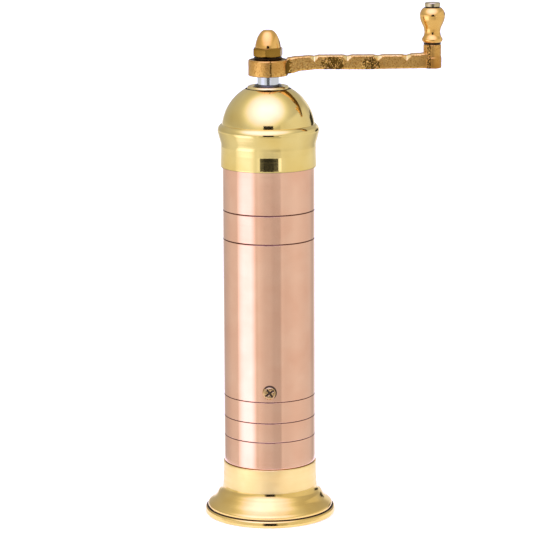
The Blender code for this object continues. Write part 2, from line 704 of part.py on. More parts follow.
def build_adjuster(axis):
    def build_ball(work):
        bmesh.ops.create_uvsphere(work, u_segments=12, v_segments=8, radius=BALL_R)

    ball = place(
        "thrust_ball", solid_mesh("thrust_ball", build_ball), BRIGHT_STEEL, axis, (0.0, 0.0, BALL_Z)
    )
    shade(ball)

    knob_low = ADJUSTER_KNOB_TOP - ADJUSTER_KNOB_H
    edge = 0.6 * MM
    outline = [(0.0, ADJUSTER_TOP), (ADJUSTER_R - edge, ADJUSTER_TOP)]
    outline += [(ADJUSTER_R, ADJUSTER_TOP - edge), (ADJUSTER_R, ADJUSTER_KNOB_TOP)]
    outline += [(ADJUSTER_KNOB_R - edge, ADJUSTER_KNOB_TOP)]
    outline += [(ADJUSTER_KNOB_R, ADJUSTER_KNOB_TOP - edge)]
    outline += [(ADJUSTER_KNOB_R, knob_low + edge), (ADJUSTER_KNOB_R - edge, knob_low)]
    outline.append((0.0, knob_low))
    adjuster = turned("adjusting_screw", outline, GOLD_BRASS, axis, steps=MEDIUM, ring=False)

    def build_knurls(work):
        depth = ADJUSTER_KNOB_H + 2.0 * MM
        height = ADJUSTER_KNOB_TOP - ADJUSTER_KNOB_H / 2
        for index in range(KNURLS):
            angle = 2 * math.pi * (index + 0.5) / KNURLS
            where = (ADJUSTER_KNOB_R * math.cos(angle), ADJUSTER_KNOB_R * math.sin(angle), height)
            bmesh.ops.create_cone(
                work, cap_ends=True, segments=8, radius1=KNURL_R, radius2=KNURL_R, depth=depth,
                matrix=Matrix.Translation(where),
            )

    knurls = place("adjuster_knurls", solid_mesh("adjuster_knurls", build_knurls), None, axis)
    combine(adjuster, make_cutter(knurls), "DIFFERENCE")

    nut_top = BRIDGE_Z - FIT
    nut = rod(
        "lock_nut", hexagon_r(LOCK_NUT_FLATS), nut_top - LOCK_NUT_H, nut_top, BRIGHT_STEEL, axis,
        steps=6,
    )
    bore = rod(
        "lock_nut_bore", ADJUSTER_R + FIT, nut_top - LOCK_NUT_H - MM, nut_top + MM, None, axis,
        steps=MEDIUM,
    )
    combine(nut, make_cutter(bore), "DIFFERENCE")


# ---------------------------------------------------------------- crank, nut and knob


def arm_outline():
    """The arm from the side: a plain underside that sags to the boss, and a scalloped top."""
    top = ARM_Z + ARM_H
    root_x = SQUARE / 2 + 1.2 * MM
    nut_clear = hexagon_r(NUT_FLATS) + ARM_NUT_GAP
    under = smooth_line(
        [
            (root_x, BOSS_Z + 0.8 * MM), (BOSS_R, BOSS_Z + 0.8 * MM),
            (BOSS_R + 3.2 * MM, BOSS_Z + 1.3 * MM), (BOSS_R + 7.5 * MM, ARM_Z - 0.2 * MM),
            (BOSS_R + 13.0 * MM, ARM_Z),
        ],
        3,
    )
    under.append((CRANK_REACH - 1.0 * MM, ARM_Z))
    post_side = CRANK_REACH - POST_R
    upper = [(CRANK_REACH - 1.0 * MM, top + 1.8 * MM), (post_side + 0.4 * MM, top + 1.8 * MM)]
    upper += [(post_side - 0.3 * MM, top + 0.7 * MM)]
    first = nut_clear + 2.0 * MM
    last = post_side - 0.5 * MM
    ends = [first + (last - first) * share for share in reversed(SCALLOP_ENDS)]
    for right, left in zip(ends, ends[1:]):
        for step in range(5):
            share = step / 5
            rise = SCALLOP_RISE * math.sin(math.pi * share)
            upper.append((right + (left - right) * share, top - SCALLOP_RISE + rise))
    upper += [(ends[-1], top - 1.0 * MM), (nut_clear + 0.4 * MM, BOSS_TOP + 0.9 * MM)]
    upper += [(nut_clear, BOSS_TOP - 0.6 * MM), (root_x, BOSS_TOP - 0.6 * MM)]
    return under + upper


def flat_bar(name, outline, thickness, material, parent):
    """A flat outline in x and z, given a thickness along y, as a closed mesh."""
    curve = bpy.data.curves.new(name, "CURVE")
    curve.dimensions = "2D"
    curve.fill_mode = "BOTH"
    curve.extrude = thickness / 2
    spline = curve.splines.new("POLY")
    spline.points.add(len(outline) - 1)
    for point, (x, z) in zip(spline.points, outline):
        point.co = (x, z, 0.0, 1.0)
    spline.use_cyclic_u = True
    drawn = bpy.data.objects.new(f"{name}_outline", curve)
    drawn.rotation_euler = (math.pi / 2, 0.0, 0.0)
    drawn.parent = parent
    PARTS.objects.link(drawn)
    bpy.context.view_layer.update()
    seen = drawn.evaluated_get(bpy.context.evaluated_depsgraph_get())
    mesh = bpy.data.meshes.new_from_object(seen)
    mesh.name = name
    work = bmesh.new()
    work.from_mesh(mesh)
    bmesh.ops.remove_doubles(work, verts=work.verts, dist=WELD / 4)
    bmesh.ops.recalc_face_normals(work, faces=work.faces)
    work.to_mesh(mesh)
    work.free()
    bar = place(name, mesh, material, parent, rotation=tuple(drawn.rotation_euler))
    bpy.data.objects.remove(drawn, do_unlink=True)
    return bar


def build_crank(axis, knob_axis):
    arm = flat_bar("crank_arm", arm_outline(), ARM_T, CAST_BRASS, axis)
    edge = 0.5 * MM
    outline = [(0.0, BOSS_TOP), (BOSS_R - edge, BOSS_TOP), (BOSS_R, BOSS_TOP - edge)]
    outline += [(BOSS_R, BOSS_Z + edge), (BOSS_R - edge, BOSS_Z), (0.0, BOSS_Z)]
    boss = turned("crank_boss", outline, None, axis, steps=MEDIUM, ring=False)
    combine(arm, make_cutter(boss), "UNION")

    low = ARM_Z + 0.2 * MM
    lug_top = low + LUG_H
    outline = [(0.0, POST_TOP), (POST_R, POST_TOP), (POST_R, lug_top), (LUG_R, lug_top - edge)]
    outline += [(LUG_R, low + edge), (LUG_R - edge, low), (0.0, low)]
    post = turned("crank_post", outline, None, axis, (CRANK_REACH, 0.0, 0.0), MEDIUM, ring=False)
    combine(arm, make_cutter(post), "UNION")

    half = SQUARE / 2 + FIT
    hole = block(
        "crank_square_hole", (-half, -half, BOSS_Z - 2.0 * MM), (half, half, BOSS_TOP + 2.0 * MM),
        None, axis,
    )
    combine(arm, make_cutter(hole), "DIFFERENCE")
    pin_hole = rod(
        "crank_pin_hole", PIN_R + FIT, POST_TOP - PIN_DEPTH - FIT, POST_TOP + 2.0 * MM, None, axis,
        (CRANK_REACH, 0.0, 0.0), steps=MEDIUM,
    )
    combine(arm, make_cutter(pin_hole), "DIFFERENCE")

    base = -knob_axis.location.z
    head_low = PIN_HEAD_Z + base
    head_top = head_low + PIN_HEAD_H
    outline = [(0.0, head_top), (PIN_HEAD_R - edge, head_top), (PIN_HEAD_R, head_top - edge)]
    outline += [(PIN_HEAD_R, head_low), (PIN_R, head_low), (PIN_R, POST_TOP - PIN_DEPTH + base)]
    outline.append((0.0, POST_TOP - PIN_DEPTH + base))
    turned("knob_pin", outline, RED_BRASS, knob_axis, steps=MEDIUM, ring=False)

    bore = PIN_R + FIT
    top = KNOB_WASHER_Z + KNOB_WASHER_T + base
    outline = [(POST_R, top), (POST_R, top - KNOB_WASHER_T)]
    outline += [(bore, top - KNOB_WASHER_T), (bore, top)]
    turned("knob_washer", outline, DARK_STEEL, knob_axis, steps=MEDIUM)

    low = KNOB_Z + base
    shape = [
        (KNOB_TOP_R, 1.0), (KNOB_R * 0.93, 0.90), (KNOB_R, 0.76), (KNOB_R * 0.90, 0.60),
        (KNOB_WAIST_R + 0.45 * MM, 0.46), (KNOB_WAIST_R, 0.33), (KNOB_WAIST_R, 0.23),
        (KNOB_BASE_R - 0.3 * MM, 0.12), (KNOB_BASE_R, 0.07),
    ]
    outer = smooth_line([(r, low + KNOB_H * v) for r, v in shape], 2)
    outer.append((KNOB_BASE_R - 0.5 * MM, low))
    turned("crank_knob", [*outer, (bore, low), (bore, low + KNOB_H)], RED_BRASS, knob_axis, steps=MEDIUM)


def build_nut(axis):
    bore = THREAD_R + FIT
    top = WASHER_Z + WASHER_T
    outline = [(WASHER_R, top), (WASHER_R, WASHER_Z), (bore, WASHER_Z), (bore, top)]
    turned("nut_washer", outline, DARK_STEEL, axis, steps=MEDIUM)

    hex_top = NUT_Z + NUT_HEX_H
    top = hex_top + NUT_DOME_H
    shape = [
        (0.36, 1.0), (0.60, 0.90), (0.80, 0.70), (0.92, 0.45), (0.985, 0.18), (1.0, 0.0),
    ]
    outline = [(0.0, top)]
    outline += smooth_line([(NUT_DOME_R * u, hex_top + NUT_DOME_H * v) for u, v in shape], 2)
    outline += [(NUT_DOME_R, NUT_Z + 1.0 * MM), (0.0, NUT_Z + 1.0 * MM)]
    nut = turned("acorn_nut", outline, RED_BRASS, axis, steps=MEDIUM, ring=False)
    hexagon = rod("nut_hexagon", hexagon_r(NUT_FLATS), NUT_Z, hex_top, None, axis, steps=6)
    round_edges(hexagon, 0.3 * MM, segments=1, angle=80.0)
    combine(nut, make_cutter(hexagon), "UNION")
    bore_top = THREAD_TOP + FIT
    threaded = rod("nut_bore", bore, NUT_Z - 2.0 * MM, bore_top, None, axis, steps=MEDIUM)
    combine(nut, make_cutter(threaded), "DIFFERENCE")


def main():
    mill_axis = axis_empty("mill_axis", AXIS_X, 0.0)
    knob_axis = axis_empty("knob_axis", CRANK_REACH, POST_TOP, mill_axis)
    screw_cutters = side_screw_cutters(mill_axis)
    build_foot(mill_axis)
    build_tube(mill_axis, screw_cutters)
    build_side_screws(mill_axis)
    build_lid(mill_axis)
    build_spindle(mill_axis)
    build_housing(mill_axis, screw_cutters)
    build_burrs(mill_axis)
    build_guide(mill_axis)
    build_spring(mill_axis)
    build_bridge(mill_axis)
    build_adjuster(mill_axis)
    build_crank(mill_axis, knob_axis)
    build_nut(mill_axis)
    bpy.context.view_layer.update()


main()
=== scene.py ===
"""Looks for the pepper mill: turned, cast and drawn pieces in place of the CAD's plain ones,
their metals, and a small studio. Lengths are in metres. Radii are measured from the mill's axis or,
for the knob, from the knob's own axis."""

import math

import bmesh
import bpy
from mathutils import Matrix, Vector, noise


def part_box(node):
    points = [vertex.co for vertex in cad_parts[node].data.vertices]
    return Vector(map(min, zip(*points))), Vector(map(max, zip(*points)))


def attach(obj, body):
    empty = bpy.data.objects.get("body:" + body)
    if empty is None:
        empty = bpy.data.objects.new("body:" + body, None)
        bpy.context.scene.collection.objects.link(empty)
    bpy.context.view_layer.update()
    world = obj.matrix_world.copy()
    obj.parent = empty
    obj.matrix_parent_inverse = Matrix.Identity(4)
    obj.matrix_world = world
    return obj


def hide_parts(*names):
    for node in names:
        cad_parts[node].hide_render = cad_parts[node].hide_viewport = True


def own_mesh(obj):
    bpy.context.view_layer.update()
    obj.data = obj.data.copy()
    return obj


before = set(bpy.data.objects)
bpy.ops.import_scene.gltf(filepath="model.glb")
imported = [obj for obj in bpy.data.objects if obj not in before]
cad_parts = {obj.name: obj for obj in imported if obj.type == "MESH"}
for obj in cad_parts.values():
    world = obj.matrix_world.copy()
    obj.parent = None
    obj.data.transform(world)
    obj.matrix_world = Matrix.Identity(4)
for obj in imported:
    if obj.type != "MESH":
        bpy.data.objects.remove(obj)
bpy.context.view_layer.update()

MM = 0.001
FINE = 144  # facets round the large turned pieces
MEDIUM = 72
SMALL = 32
FIT = 0.3 * MM  # clearance between pieces that touch or slide
MERGE = 0.002 * MM  # points closer than this become one
RING_STRETCH = (0.02, 0.02, 1.0)  # draws a finish out into rings round an upright axis
CLOUD = 14 * MM  # spacing of the patches that hands have dulled

# ---------------------------------------------------------------- places taken from the CAD


def middle(node):
    low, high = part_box(node)
    return (low + high) / 2


def bottom(node):
    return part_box(node)[0].z


def top(node):
    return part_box(node)[1].z


def half_width(node):
    low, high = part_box(node)
    return (high.y - low.y) / 2


MILL_AXIS = Vector((middle("body_tube").x, middle("body_tube").y, 0.0))
KNOB_AXIS = Vector((middle("crank_knob").x, middle("crank_knob").y, 0.0))
REACH = KNOB_AXIS.x - MILL_AXIS.x

# ---------------------------------------------------------------- nodes and metals


def colour(code):
    """A hex colour, as written for screens, in Blender's linear light."""
    parts = [int(code[i : i + 2], 16) / 255 for i in (1, 3, 5)]
    return (*[p / 12.92 if p <= 0.04045 else ((p + 0.055) / 1.055) ** 2.4 for p in parts], 1.0)


def add(tree, kind, inputs=None, **settings):
    """One node. An input is set to a value, or linked if an output socket is given."""
    node = tree.nodes.new(kind)
    for name, value in settings.items():
        setattr(node, name, value)
    for name, value in (inputs or {}).items():
        if isinstance(value, bpy.types.NodeSocket):
            tree.links.new(value, node.inputs[name])
        else:
            node.inputs[name].default_value = value
    return node


def fill_ramp(node, stops, blend="LINEAR"):
    ramp = node.color_ramp
    ramp.interpolation = blend
    while len(ramp.elements) > 1:
        ramp.elements.remove(ramp.elements[-1])
    ramp.elements[0].position = stops[0][0]
    ramp.elements[0].color = stops[0][1]
    for place, shade in stops[1:]:
        ramp.elements.new(place).color = shade


def metal(name, tint, dull, rough, grain, grain_depth, centre=None, rings=False, metallic=1.0,
          mottle=0.0):
    """A metal with a fine finish. tint and dull are its colours where clean and where handled,
    grain is the finish's spacing, rings lays it round the axis as a lathe does, and mottle is how
    far the grain changes the colour too."""
    made = bpy.data.materials.new(name)
    made.use_nodes = True
    tree = made.node_tree
    tree.nodes.clear()
    place = add(tree, "ShaderNodeTexCoord").outputs["Object"]
    centre = centre or MILL_AXIS
    moved = add(tree, "ShaderNodeMapping", {"Vector": place, "Location": -centre}).outputs[0]
    stretch = RING_STRETCH if rings else (1.0, 1.0, 1.0)
    laid = add(tree, "ShaderNodeMapping", {"Vector": moved, "Scale": stretch}).outputs[0]
    finish = add(
        tree, "ShaderNodeTexNoise", {"Vector": laid, "Scale": 1.0 / grain, "Detail": 3.0}
    ).outputs["Fac"]
    cloud = add(
        tree, "ShaderNodeTexNoise", {"Vector": moved, "Scale": 1.0 / CLOUD, "Detail": 2.0}
    ).outputs["Fac"]
    handled = add(
        tree, "ShaderNodeMapRange", {"Value": cloud, "From Min": 0.35, "From Max": 0.75}
    ).outputs[0]
    if mottle:
        spots = add(
            tree, "ShaderNodeMapRange",
            {"Value": finish, "From Min": 0.42, "From Max": 0.62, "To Max": mottle},
        ).outputs[0]
        handled = add(tree, "ShaderNodeMath", {0: handled, 1: spots}, operation="MAXIMUM").outputs[0]
    tone = add(
        tree, "ShaderNodeMixRGB", {"Fac": handled, "Color1": colour(tint), "Color2": colour(dull)}
    ).outputs[0]
    gloss = add(
        tree, "ShaderNodeMapRange",
        {"Value": finish, "From Min": 0.3, "From Max": 0.7, "To Min": rough * 0.8,
         "To Max": rough * 1.25},
    ).outputs[0]
    bump = add(
        tree, "ShaderNodeBump", {"Height": finish, "Strength": 1.0, "Distance": grain_depth}
    ).outputs[0]
    surface = add(
        tree, "ShaderNodeBsdfPrincipled",
        {"Base Color": tone, "Roughness": gloss, "Normal": bump, "Metallic": metallic},
    )
    add(tree, "ShaderNodeOutputMaterial", {"Surface": surface.outputs[0]})
    return made


# Spun sheet brass, pale and mirror-like, with faint rings from the lathe
SPUN_BRASS = metal("spun_pale_brass", "#F8DE94", "#F0D07C", 0.09, 0.9 * MM, 0.0010 * MM, rings=True)
# Spun golden brass of the foot, polished like the lid but yellower
GOLD_BRASS = metal(
    "spun_golden_brass", "#F8D484", "#EFC56E", 0.13, 0.8 * MM, 0.0012 * MM, rings=True
)
# The foot's neck, left satin from the abrasive cloth, so that it only glows softly
SATIN_BRASS = metal(
    "satin_golden_brass", "#FFE29A", "#F8D488", 0.36, 0.7 * MM, 0.0030 * MM, rings=True
)
# Drawn copper tube, polished and lacquered, pinkish, with long even reflections
COPPER = metal("drawn_copper", "#F9C8AA", "#F3BC9D", 0.09, 1.2 * MM, 0.0006 * MM, rings=True)
# Copper gone brown in the rolled grooves, where no cloth reaches
TARNISHED_COPPER = metal("tarnished_copper", "#7C4A36", "#5E3728", 0.38, 0.6 * MM, 0.002 * MM)
# Sand-cast brass, its skin pitted and brownish, barely polished
CAST_BRASS = metal("sand_cast_brass", "#FFCE76", "#C2863A", 0.34, 0.8 * MM, 0.10 * MM, mottle=0.9)
# The casting's first skin, left dark in its pits and along its parting lines; the same dark brass is
# painted shade on the undersides, on the boss's seat under the nut and where the arm meets the boss
CAST_SKIN_AND_SHADE = metal("casting_skin_and_painted_shade", "#7A5A22", "#4E3816", 0.44, 0.6 * MM, 0.03 * MM)
# The file and buff marks that brighten the casting's upper edge, and the lid's collar; their paler
# tint is partly a painted highlight
BUFFED_BRASS_HIGHLIGHT = metal("buffed_brass_painted_highlight", "#FBE5A6", "#F0CB7C", 0.20, 0.9 * MM, 0.02 * MM)
# Turned red brass of the nut and knob, warm orange, well polished
RED_BRASS = metal("turned_red_brass", "#FACB7B", "#EDB35C", 0.12, 0.6 * MM, 0.0012 * MM, rings=True)
KNOB_BRASS = metal(
    "turned_knob_brass", "#FACB7B", "#EDB35C", 0.12, 0.6 * MM, 0.0012 * MM, KNOB_AXIS, rings=True
)
# Milled flats of the nut, a little dull from the cutter and darkened as painted shade
SHADED_MILLED_BRASS = metal("milled_brass_painted_shade", "#AE8438", "#8E6826", 0.26, 0.5 * MM, 0.004 * MM)
# Ground and plated steel, clear grey-white
BRIGHT_STEEL = metal("plated_steel", "#D9DCE0", "#C8CBD0", 0.08, 0.5 * MM, 0.0010 * MM, rings=True)
# Oiled dark steel of the bush
DARK_STEEL = metal("oiled_dark_steel", "#615D56", "#45423D", 0.20, 0.4 * MM, 0.002 * MM, rings=True)
# Browned steel of the washers; its dark brown is a painted shadow under the nut and under the knob
BROWNED_STEEL_AND_SHADOW = metal("browned_steel_painted_shadow", "#3E2C18", "#2A1D10", 0.36, 0.4 * MM, 0.002 * MM, rings=True)
# Brass screw heads that the polishing cloth passes over, tarnished in blotches
TARNISHED_BRASS = metal(
    "tarnished_brass", "#F0CE98", "#9A7238", 0.26, 1.3 * MM, 0.04 * MM, mottle=0.8
)
# Painted shade, dark and not shiny, in seams, creases, recesses and under heads
PAINTED_SHADE = metal("painted_shade", "#4A3413", "#2C1F0C", 0.55, 0.5 * MM, 0.01 * MM, metallic=0.3)
# Hardened burr steel, grey and faintly granular from heat treatment
BURR_STEEL = metal("hardened_burr_steel", "#8E8B86", "#6F6C67", 0.34, 0.5 * MM, 0.006 * MM)
# Die-cast zinc of the housing, soft grey with a fine skin
DIE_CAST = metal("die_cast_zinc", "#B9B9B7", "#9D9D9B", 0.42, 0.5 * MM, 0.008 * MM)
# Pin head, plated brass gone greyish gold
PIN_METAL = metal(
    "plated_pin", "#CDBB96", "#B7A47C", 0.18, 0.4 * MM, 0.001 * MM, KNOB_AXIS, rings=True
)

# ---------------------------------------------------------------- making pieces


def keep(name, work, body, nodes, slot, *materials, sharp=32.0):
    """The bmesh as a piece that rides on a body and stands for its CAD nodes."""
    bmesh.ops.remove_doubles(work, verts=work.verts, dist=MERGE)
    bmesh.ops.dissolve_degenerate(work, edges=work.edges, dist=MERGE / 2)
    bmesh.ops.recalc_face_normals(work, faces=work.faces)
    mesh = bpy.data.meshes.new(name)
    work.to_mesh(mesh)
    work.free()
    mesh.shade_smooth()
    mesh.set_sharp_from_angle(angle=math.radians(sharp))
    for material in materials:
        mesh.materials.append(material)
    piece = bpy.data.objects.new(name, mesh)
    bpy.context.scene.collection.objects.link(piece)
    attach(piece, body)
    if nodes:
        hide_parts(*nodes)
    return piece


def rounded(points, steps=5):
    """An outline whose corners are rounded. Each point is (radius, height, corner radius)."""
    line = []
    count = len(points)
    for index, (r, z, corner) in enumerate(points):
        here = Vector((r, z))
        if corner == 0.0:
            line.append(here)
            continue
        before = Vector(points[index - 1][:2]) - here
        after = Vector(points[(index + 1) % count][:2]) - here
        before.normalize()
        after.normalize()
        half = before.angle(after) / 2
        reach = corner / math.tan(half)
        centre = here + (before + after).normalized() * (corner / math.sin(half))
        start = here + before * reach - centre
        end = here + after * reach - centre
        for step in range(steps + 1):
            turned_to = start.lerp(end, step / steps).normalized() * corner
            line.append(centre + turned_to)
    return [(p.x, p.y) for p in line]


def curved(points, steps=6):
    """A smooth line through points, for flowing profiles."""
    ends = [2 * Vector(points[0]) - Vector(points[1])]
    ends += [Vector(p) for p in points]
    ends.append(2 * Vector(points[-1]) - Vector(points[-2]))
    line = []
    for a, b, c, d in zip(ends, ends[1:], ends[2:], ends[3:]):
        for step in range(steps):
            t = step / steps
            line.append(
                0.5 * (2 * b + (c - a) * t + (2 * a - 5 * b + 4 * c - d) * t * t
                       + (3 * b - a - 3 * c + d) * t ** 3)
            )
    line.append(Vector(points[-1]))
    return [tuple(p) for p in line]


def shifted(points, radius, height):
    """Profile points given in millimetres outwards and upwards from a radius and a height."""
    return [(radius + out * MM, height + up * MM) for out, up in points]


def swept_arc(centre_r, centre_z, radius, start, end, steps):
    """Points round a circle in the profile's plane, angles in degrees from outwards."""
    line = []
    for step in range(steps + 1):
        angle = math.radians(start + (end - start) * step / steps)
        line.append((centre_r + radius * math.cos(angle), centre_z + radius * math.sin(angle)))
    return line


def firm(outline, closed):
    """The outline with a point close to both ends of each long straight run, so that smooth
    shading keeps the run flat."""
    line = []
    near = 0.12 * MM
    long_run = 1.0 * MM
    count = len(outline)
    for index, point in enumerate(outline):
        line.append(point)
        if index == count - 1 and not closed:
            break
        here = Vector(point)
        run = Vector(outline[(index + 1) % count]) - here
        if run.length > long_run:
            inwards = run.normalized() * near
            line += [tuple(here + inwards), tuple(here + run - inwards)]
    return line


def spun(work, outline, axis, steps, closed=True):
    """Turns an outline of (radius, height) about an upright axis, as on a lathe."""
    outline = firm(outline, closed)
    verts = [work.verts.new((axis.x + max(r, 0.0), axis.y, z)) for r, z in outline]
    pairs = list(zip(verts, verts[1:]))
    if closed:
        pairs.append((verts[-1], verts[0]))
    edges = [work.edges.new(pair) for pair in pairs]
    bmesh.ops.spin(
        work, geom=verts + edges, cent=axis, axis=(0.0, 0.0, 1.0), angle=2 * math.pi,
        steps=steps, use_merge=True, use_duplicate=False,
    )


def mark(work, axis, index, test):
    """Gives faces another of the piece's metals where test(radius, height, compass) holds."""
    for face in work.faces:
        spot = face.calc_center_median() - axis
        if test(math.hypot(spot.x, spot.y), spot.z, math.degrees(math.atan2(spot.x, -spot.y))):
            face.material_index = index


def turned(name, outline, axis, steps, body, nodes, slot, *materials, closed=True, marks=()):
    """A piece made wholly on the lathe. Each mark is a metal's number and a test for mark()."""
    work = bmesh.new()
    spun(work, outline, axis, steps, closed)
    for index, test in marks:
        mark(work, axis, index, test)
    return keep(name, work, body, nodes, slot, *materials)


# ---------------------------------------------------------------- foot and tube

TUBE_R = half_width("body_tube")
TUBE_WALL = 1.0 * MM
TUBE_BORE = TUBE_R - TUBE_WALL
TUBE_LOW = bottom("body_tube")
TUBE_TOP = top("body_tube")
FOOT_R = half_width("foot_base")
FOOT_TOP = top("foot_base")
SHOULDER = TUBE_LOW - FIT
SPIGOT_R = TUBE_BORE - FIT
SPIGOT_WALL = 0.9 * MM
SPIGOT_BORE = SPIGOT_R - SPIGOT_WALL
NECK_LOW = 13.8 * MM  # where the satin neck begins
# The foot's wide curve from the step over its bead up to the neck, outwards from the widest radius
# and up from the table
FLARE = (
    (-1.42, 3.62), (-1.44, 4.4), (-1.95, 5.15), (-3.1, 6.05), (-4.25, 7.0), (-5.15, 8.05),
    (-5.75, 9.0), (-6.45, 10.1), (-7.55, 11.2), (-8.10, 12.2), (-8.42, 13.4), (-8.62, 15.2),
    (-8.8, 19.5),
)
HOLLOW = ((-8.0, 9.3), (-6.2, 6.6), (-3.9, 4.2), (-3.55, 2.0))  # the same curve on the inside


def build_foot():
    """Spun foot: a rolled bead, a flat step over it, a wide cyma and a nearly straight neck."""
    bead = 1.05 * MM
    edge = 0.45 * MM
    outline = [(FOOT_R - 3.5 * MM, 0.0), (FOOT_R - 1.5 * MM, 0.02 * MM)]
    outline += swept_arc(FOOT_R - bead, 1.08 * MM, bead, -72.0, 6.0, 8)
    outline += swept_arc(FOOT_R - 1.26 * MM, 2.16 * MM, bead, 16.0, 62.0, 8)
    outline += [(FOOT_R - 1.72 * MM, 3.14 * MM), (FOOT_R - 1.76 * MM, 3.44 * MM)]
    outline += curved(shifted(FLARE, FOOT_R, 0.0))
    outline += swept_arc(FOOT_R - 9.3 * MM, SHOULDER - edge, edge, 0.0, 90.0, 6)
    outline += [(SPIGOT_R, SHOULDER), (SPIGOT_R, FOOT_TOP - 0.4 * MM)]
    outline += [(SPIGOT_R - 0.3 * MM, FOOT_TOP), (SPIGOT_BORE, FOOT_TOP)]
    outline += [(SPIGOT_BORE, 14.5 * MM)]
    outline += curved([(SPIGOT_BORE + 1.0 * MM, 12.5 * MM)] + shifted(HOLLOW, FOOT_R, 0.0), 4)

    def on_neck(r, z, compass):
        return r > FOOT_R - 9.25 * MM and NECK_LOW < z < SHOULDER - 0.1 * MM

    # The crease over the bead is painted dark as shade
    def in_painted_shade(r, z, compass):
        return FOOT_R - 2.3 * MM < r < FOOT_R - 0.95 * MM and 2.95 * MM < z < 3.64 * MM

    turned(
        "foot", outline, MILL_AXIS, FINE, "mill_body", ["foot_base"], "gold_brass",
        GOLD_BRASS, SATIN_BRASS, PAINTED_SHADE, marks=((1, on_neck), (2, in_painted_shade)),
    )


GROOVES = (
    (12.6 * MM, 0.26 * MM, 0.18 * MM), (21.7 * MM, 0.26 * MM, 0.18 * MM),
    (31.6 * MM, 0.26 * MM, 0.18 * MM), (104.6 * MM, 0.34 * MM, 0.24 * MM),
    (117.8 * MM, 0.34 * MM, 0.24 * MM),
)  # height above the tube's lower edge, half width, depth


def build_tube():
    """Drawn tube with five rolled grooves and softened ends."""
    edge = 0.15 * MM
    outline = swept_arc(TUBE_R - edge, TUBE_LOW + edge, edge, -90.0, 0.0, 4)
    for up, half, depth in GROOVES:
        middle_z = TUBE_LOW + up
        for step in range(13):
            t = step / 6 - 1
            sunk = depth * (0.5 + 0.5 * math.cos(math.pi * t)) ** 0.8
            outline.append((TUBE_R - sunk, middle_z + half * t))
    outline += swept_arc(TUBE_R - edge, TUBE_TOP - edge, edge, 0.0, 90.0, 4)
    outline += [(TUBE_BORE, TUBE_TOP), (TUBE_BORE, TUBE_LOW)]

    def in_groove(r, z, compass):
        return r > TUBE_BORE + 0.3 * MM and any(
            abs(z - TUBE_LOW - up) < half * 0.9 for up, half, depth in GROOVES
        )

    turned(
        "tube", outline, MILL_AXIS, FINE, "mill_body", ["body_tube"], "copper",
        COPPER, TARNISHED_COPPER, marks=((1, in_groove),),
    )


def off_recess(x, y):
    """How far a place on a screw's head is from the middle of the nearer arm of its cross."""
    return min(abs(x * 0.8 + y * 0.6), abs(y * 0.8 - x * 0.6))


def build_side_screw(index, turn):
    """Low button head with a worn cross recess, painted dark as shade in the recess, under the head
    and along its upper rim.
    """
    node = f"side_screw_{index}"
    seat = TUBE_R + 0.05 * MM
    head = 3.3 * MM
    tall = 1.45 * MM
    shank = 1.5 * MM
    shank_end = -3.8 * MM
    under = -0.15 * MM
    recess = 0.55 * MM  # its depth, and its half width
    work = bmesh.new()
    dome = [(0.0, 0.90), (0.3, 0.93), (0.55, 1.0), (0.78, 0.86), (0.94, 0.55), (1.0, 0.2)]
    outline = curved([(head * r, tall * z) for r, z in dome], 4)
    outline += [(head, under), (shank, under), (shank, shank_end), (0.0, shank_end)]
    spun(work, outline, Vector((0.0, 0.0, 0.0)), SMALL, closed=False)
    bmesh.ops.remove_doubles(work, verts=work.verts, dist=MERGE)
    for vert in work.verts:
        if vert.co.z < tall * 0.4:
            continue
        across = off_recess(vert.co.x, vert.co.y)
        if across < recess and math.hypot(vert.co.x, vert.co.y) < head * 0.7:
            vert.co.z -= recess * (1 - across / recess) ** 0.5
    for face in work.faces:
        spot = face.calc_center_median()
        out = math.hypot(spot.x, spot.y)
        inside = off_recess(spot.x, spot.y) < 0.42 * MM and out < head * 0.68
        shaded_rim = out > 0.82 * head and spot.y - spot.x > 0.1 * head
        # Painted shade: the recess, the head's underside and its upper rim
        if spot.z < 0.25 * MM or inside or shaded_rim:
            face.material_index = 1
    into_tube = (
        Matrix.Translation(MILL_AXIS + Vector((0.0, 0.0, middle(node).z)))
        @ Matrix.Rotation(turn, 4, "Z")
        @ Matrix.Translation((seat, 0.0, 0.0))
        @ Matrix.Rotation(math.pi / 2, 4, "Y")
    )
    bmesh.ops.transform(work, matrix=into_tube, verts=work.verts)
    keep(
        f"side_screw_head_{index}", work, "mill_body", [node], "gold_brass",
        TARNISHED_BRASS, PAINTED_SHADE,
    )


# ---------------------------------------------------------------- lid

LID_TOP = top("lid_dome")
SKIRT_LOW = bottom("lid_dome")
SKIRT_R = TUBE_R + 0.85 * MM
LIP_R = half_width("lid_dome")
LEDGE = TUBE_TOP + FIT
DOME_R = TUBE_R + FIT
DOME_Z = LEDGE - 0.5 * MM
LID_WALL = 0.7 * MM
COLLAR_R = 10.2 * MM
COLLAR_HOLE = 6.8 * MM
COLLAR_TOP = LID_TOP - 0.65 * MM
CROWN = LID_TOP - 3.1 * MM  # the flat inside the dome's top
# The skirt leans in and then swells to its lip: outwards from the skirt's radius, up from its edge
LEAN = ((0.0, 0.6), (-0.07, 3.0), (-0.15, 5.6), (-0.18, 6.7))
SWELL = ((-0.18, 9.7), (-0.10, 10.6), (0.13, 11.6), (0.47, 12.8), (0.80, 14.0))


